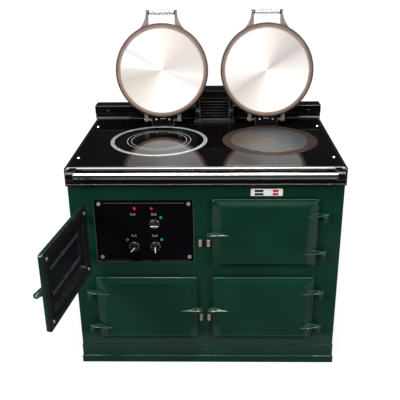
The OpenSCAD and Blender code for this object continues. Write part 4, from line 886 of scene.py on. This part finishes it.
# ---------------------------------------------------------------- coil grips and the feet of their posts
def coil(tag):
    """Nine curls of wire round the grip's rod, wider in the middle."""
    curls, per_curl, half, wire = 9, 16, 48.7, 1.8
    total = curls * per_curl
    path = []
    for k in range(total + 1):
        t = k / total
        r = 6.8 + 2.75 * math.sin(math.pi * t)
        a = 2 * math.pi * curls * t
        x = LID_X[tag] - half + 2 * half * t
        path.append((x, GRIP_AT[0] + r * math.cos(a), GRIP_AT[1] + r * math.sin(a)))
    v, f = tube(path, wire, 8)
    piece("coil_grip_" + tag, v, f, BRIGHT, "lid_" + tag, ("lid_coil_" + tag,))


def lid_point(cx, u, v, w):
    """A point of an open lid: u across, v up from its middle, w out of its rim's face."""
    s, c = math.sin(LID_LEAN), math.cos(LID_LEAN)
    return (cx + u, LID_MID[0] + v * s - w * c, LID_MID[1] + v * c + w * s)


def post_feet(tag):
    """The smooth feet that spread each grip post into the rim."""
    steps, r, half_thick, mid_w, inner = 18, 2.2, 7.6, 0.8, 58.0
    low, high = mid_w - half_thick + r, mid_w + half_thick - r
    parts = []
    for side in (-1, 1):
        rings = []
        for k in range(steps + 1):
            t = k / steps
            outer = 63.9 + 27.0 * t ** 1.9
            corners = ((outer - r, high, 0), (inner + r, high, 90),
                       (inner + r, low, 180), (outer - r, low, 270))
            ring = []
            for pu, pw, start in corners:
                for q in range(5):
                    a = math.radians(start + 22.5 * q)
                    u = side * (pu + r * math.cos(a))
                    ring.append(lid_point(LID_X[tag], u, 232.0 - 62.0 * t, pw + r * math.sin(a)))
            rings.append(ring)
        parts.append(skin(rings, cap_start=True, cap_end=True))
    v, f = join(*parts)
    piece("post_feet_" + tag, v, f, LID_IRON[tag], "lid_" + tag, (), sharp=50)


for side in SIDES:
    coil(side)
for side in SIDES:
    post_feet(side)


# ---------------------------------------------------------------- glass hob's trim ring
def hoop(profile, steps, cx, cy):
    """A closed (radius, height) profile turned about an upright axis."""
    turns = [2 * math.pi * i / steps for i in range(steps)]
    closed = profile + profile[:1]
    return skin([[(cx + r * math.cos(a), cy + r * math.sin(a), h) for a in turns] for r, h in closed])


HOB_RING = [(189.0, 836.0), (189.0, 839.9), (188.6, 840.35), (187.8, 840.58), (176.6, 840.58),
            (174.8, 840.5), (174.2, 840.36), (174.2, 840.1), (181.2, 840.1), (181.2, 836.0)]
v, f = hoop(HOB_RING, 160, LID_X["left"], HOB_Y)
RING = make_metal("satin_ring", srgb(150, 158, 163), srgb(180, 186, 190), 0.2, 0.3, 0.3)
piece("hob_ring", v, f, RING, "root", ("hob_trim_ring",), sharp=25)


# ---------------------------------------------------------------- studs and bar on the lids' hinge blocks
STUD = [(4.0, 0.0), (4.0, 0.5), (3.7, 1.4), (2.9, 2.2), (1.6, 2.6), (0.0, 2.7)]
BAR = [(0.4, -12.2), (1.1, -12.0), (1.4, -11.2), (1.4, 11.2), (1.1, 12.0), (0.4, 12.2)]
for tag, cx in LID_X.items():
    parts = [lathe(STUD, 24, (cx + dx, 138.1, 870), "y") for dx in (-27, 27)]
    parts.append(lathe(BAR, 16, (cx, 138.0, 873.4), "x"))
    v, f = join(*parts)
    piece("hinge_studs_" + tag, v, f, BRIGHT, "root", ())


# ---------------------------------------------------------------- heat indicator
def block(x0, x1, y0, y1, z0, z1, r=0.6, corner=1.0):
    """A slab facing the front, with rounded corners and a soft front edge; y0 is its front."""
    cx, cz, a, b = (x0 + x1) / 2, (z0 + z1) / 2, (x1 - x0) / 2, (z1 - z0) / 2
    rings = [round_rect(cx, cz, a, b, corner, y1, 5), round_rect(cx, cz, a, b, corner, y0 + r, 5)]
    for k in range(1, 5):
        t = math.radians(90 * k / 4)
        inset = r * (1 - math.cos(t))
        rings.append(round_rect(cx, cz, a - inset, b - inset, corner, y0 + r - r * math.sin(t), 5))
    return skin(rings, cap_start=True, cap_end=True)


def indicator():
    """A pale slip with two rows of bars, black on the left and red on the right."""
    cx, cz, proud, bar_lift = 217.5, 733.5, 4, 0.35
    rows = ((1.5, 10.4), (-10.8, -2.2))
    slip = block(cx - 57, cx + 57, FRONT - proud, FRONT, cz - 13.5, cz + 13.5, 1.0, 3.0)
    # the bars' faces stand out from the slip's by bar_lift
    slip = ([(x, y + (bar_lift if y < -335 else 0.0), z) for x, y, z in slip[0]], slip[1])
    bars = [block(cx + x0, cx + x1, FRONT - proud, FRONT - 2, cz + z0, cz + z1, 0.3, 0.8)
            for x0, x1 in ((-43.0, -12.0), (21.2, 41.6)) for z0, z1 in rows]
    v, f = join(slip, *bars)
    idx = [0] * len(slip[1])
    for i, bar in enumerate(bars):
        idx += [1 + i // len(rows)] * len(bar[1])
    ink = make_plain("indicator_black", srgb(22, 20, 20), srgb(34, 32, 32), 0.3, 0.4)
    red = make_plain("indicator_red", srgb(196, 12, 30), srgb(214, 26, 42), 0.3, 0.4)
    piece("heat_indicator_plate", v, f, [SLOT["indicator"], ink, red], "root", ("heat_indicator",),
          face_mats=idx)


indicator()


# ---------------------------------------------------------------- control panel
PANEL_X, PANEL_Z, PANEL_Y = LEFT_X, UPPER_Z, -321.0
PANEL_MARK = make_plain("panel_marks", srgb(104, 102, 106), srgb(132, 130, 134), 0.4, 0.5)
KNOB_BLACK = make_plain("knob_black", srgb(14, 13, 14), srgb(24, 23, 24), 0.22, 0.34, 0.4)
KNOB_RING = make_metal("knob_ring", srgb(104, 99, 94), srgb(134, 129, 124), 0.16, 0.26, 0.7)
KNOB_WHITE = make_plain("knob_white", srgb(232, 230, 226), srgb(246, 244, 240), 0.4, 0.5)
# (radius, height) of the chrome ring and of the hub; (half length, half width, height) up the grip bar
KNOB_SKIRT = [(19.0, 1.3), (19.0, 2.6), (18.4, 3.6), (17.4, 4.2), (16.2, 4.4), (15.6, 4.1)]
KNOB_HUB = [(15.8, 3.0), (15.8, 4.2), (15.0, 4.9), (13.4, 5.4), (12.6, 7.0), (12.2, 9.0), (11.0, 10.2),
            (8.0, 10.6), (0.0, 10.7)]
KNOB_BAR = ((16.6, 5.5, 4.6), (16.9, 5.6, 8.0), (16.6, 5.2, 14.0), (16.0, 4.7, 19.0), (15.2, 4.1, 21.4),
            (13.9, 3.0, 22.4), (12.6, 1.8, 22.5))


def knob(tag, x, z, pointer):
    """A skirted knob whose grip bar lies along pointer degrees (0 is right, 90 up)."""
    ring = lathe(KNOB_SKIRT, 56, (x, PANEL_Y, z), "y")
    hub = lathe(KNOB_HUB, 56, (x, PANEL_Y, z), "y")
    rings = [round_rect(0, 0, half_l, half_w, min(half_w - 0.05, 4.4), -h) for half_l, half_w, h in KNOB_BAR]
    bar = skin(rings, cap_start=True, cap_end=True)
    line = block(-7.5, 16.2, -22.9, -21.0, -1.9, 1.9, 0.3, 1.7)
    if tag == "hotplate":
        line = block(-14.4, 14.4, -22.9, -21.0, -1.8, 1.8, 0.3, 1.6)
    c, s = math.cos(math.radians(pointer)), math.sin(math.radians(pointer))

    def put(part):
        return [(x + px * c - pz * s, PANEL_Y + py, z + px * s + pz * c) for px, py, pz in part[0]], part[1]

    v, f = join(ring, hub, put(bar), put(line))
    idx = [0] * len(ring[1]) + [1] * (len(hub[1]) + len(bar[1])) + [2] * len(line[1])
    piece("control_knob_" + tag, v, f, [KNOB_RING, KNOB_BLACK, KNOB_WHITE], tag + "_knob", ("knob_" + tag,),
          sharp=45, face_mats=idx)


knob("hotplate", PANEL_X + 37, PANEL_Z + 27, 180)
knob("oven", PANEL_X - 42, PANEL_Z - 65, 228)
knob("hob", PANEL_X + 38, PANEL_Z - 65, 270)


def panel_trim():
    """The recess's trim: a dark sloping inner face, and a lip whose side faces are a paler metal, painted
    highlight, while its top and bottom stay dark.
    """
    a, b = 364.0 / 2, 254.5 / 2
    section = ((0.3, -321.3), (0.3, -330.4), (0.9, -331.0), (2.4, -331.0), (3.0, -330.6), (3.6, -329.6),
               (6.6, -322.4), (6.9, -321.3))
    rings = [round_rect(PANEL_X, PANEL_Z, a - inset, b - inset, 5.0 - min(inset, 3.5), y, 6, 2)
             for inset, y in section]
    v, f = skin(rings)
    lip = len(rings[0]) * 4

    def is_side_highlight(i, face):
        return i < lip and all(abs(v[k][0] - PANEL_X) > a - 5.0 for k in face)

    # painted highlight: the lip's faces at each side take the paler metal
    idx = [0 if is_side_highlight(i, face) else 1 for i, face in enumerate(f)]
    side_highlight = make_metal("trim_side_highlight", srgb(64, 72, 66), srgb(88, 96, 90), 0.2, 0.3, 0.4)
    piece("recess_trim", v, f, [side_highlight, SLOT["panel_black"]], "root", ("panel_frame",),
          face_mats=idx)
    # thin strips along the panel's top and bottom edges between the screws: painted highlight lines, paler
    # along the bottom
    for tag, z, half, lo, hi in (("top", 687.0, 0.8, srgb(112, 98, 106), srgb(134, 120, 126)),
                                 ("bottom", 451.6, 1.9, srgb(186, 188, 180), srgb(214, 216, 208))):
        v, f = block(PANEL_X - 146, PANEL_X + 146, PANEL_Y - 1.4, PANEL_Y + 0.2, z - half, z + half, 0.5, 0.9)
        metal = make_metal("panel_lip_highlight_" + tag, lo, hi, 0.2, 0.3, 0.4)
        piece("panel_lip_highlight_" + tag, v, f, metal, "root", ())


panel_trim()

# captions: three plain bars each
for i, (dx, dz) in enumerate(((-41, 66), (36, 66), (-41, -21), (36, -21))):
    x, z = PANEL_X + dx, PANEL_Z + dz
    parts = []
    for k in range(3):
        x0, top = x - 9.5 + 7 * k, z + 4.5 - 2.5 * (k % 2)
        parts.append(block(x0, x0 + 5.0, PANEL_Y - 0.5, PANEL_Y + 0.2, z - 4.5, top, 0.2, 0.8))
    v, f = join(*parts)
    piece("panel_mark_%d" % (i + 1), v, f, PANEL_MARK, "root", ())

# ---------------------------------------------------------------- floor
FLOOR_HALF = 30.0
FLOOR_BELOW = 0.0005
PALE, DARK = (0.55, 0.55, 0.545, 1), (0.12, 0.12, 0.12, 1)
corners = [(sx * FLOOR_HALF, sy * FLOOR_HALF, 0) for sx, sy in ((-1, -1), (1, -1), (1, 1), (-1, 1))]
floor_mesh = bpy.data.meshes.new("floor")
floor_mesh.from_pydata(corners, [], [(0, 1, 2, 3)])
floor = bpy.data.objects.new("floor", floor_mesh)
scene.collection.objects.link(floor)
floor.location.z = -FLOOR_BELOW

m = Mat("floor", rough=0.9, spec=0.0)
x, y, _ = m.xyz()
off = m.math("ABSOLUTE", x)
# what gloss sees of the floor: pale under the plinth and just in front of it, and a pale card at each side
near = m.mul(m.span(y, -0.54, -0.48, 0.0, 0.26), m.span(y, -0.46, -0.36, 1.0, 0.12))
card = m.mul(m.mul(m.span(off, 0.58, 1.3, 0.12, 0.62), m.span(off, 2.3, 1.9)),
             m.mul(m.span(y, -1.7, -1.2), m.span(y, -0.42, -0.56)))
card = m.mul(card, m.span(off, 0.56, 0.66, 0.0, 0.62))
shown = m.most(m.mul(near, m.span(off, 2.2, 1.2)), card)
rays = m.node("ShaderNodeLightPath").outputs
mirror = m.most(rays["Is Glossy Ray"], rays["Is Transmission Ray"])
dark = m.most(m.mul(mirror, m.sub(1.0, shown)), m.mul(rays["Is Diffuse Ray"], 0.6))
m.colour(m.mix(dark, PALE, DARK))
seen = m.most(m.mul(mirror, shown), rays["Is Camera Ray"])
glow = m.node("ShaderNodeEmission")
m.put(m.mul(seen, m.span(m.length(x, y), 0.8, 3.0, 0.62, 0.84)), glow.inputs["Strength"])
both = m.node("ShaderNodeAddShader", m.s.outputs[0], glow.outputs[0])
m.put(both.outputs[0], m.t.nodes["Material Output"].inputs[0])
floor_mesh.materials.append(m.m)
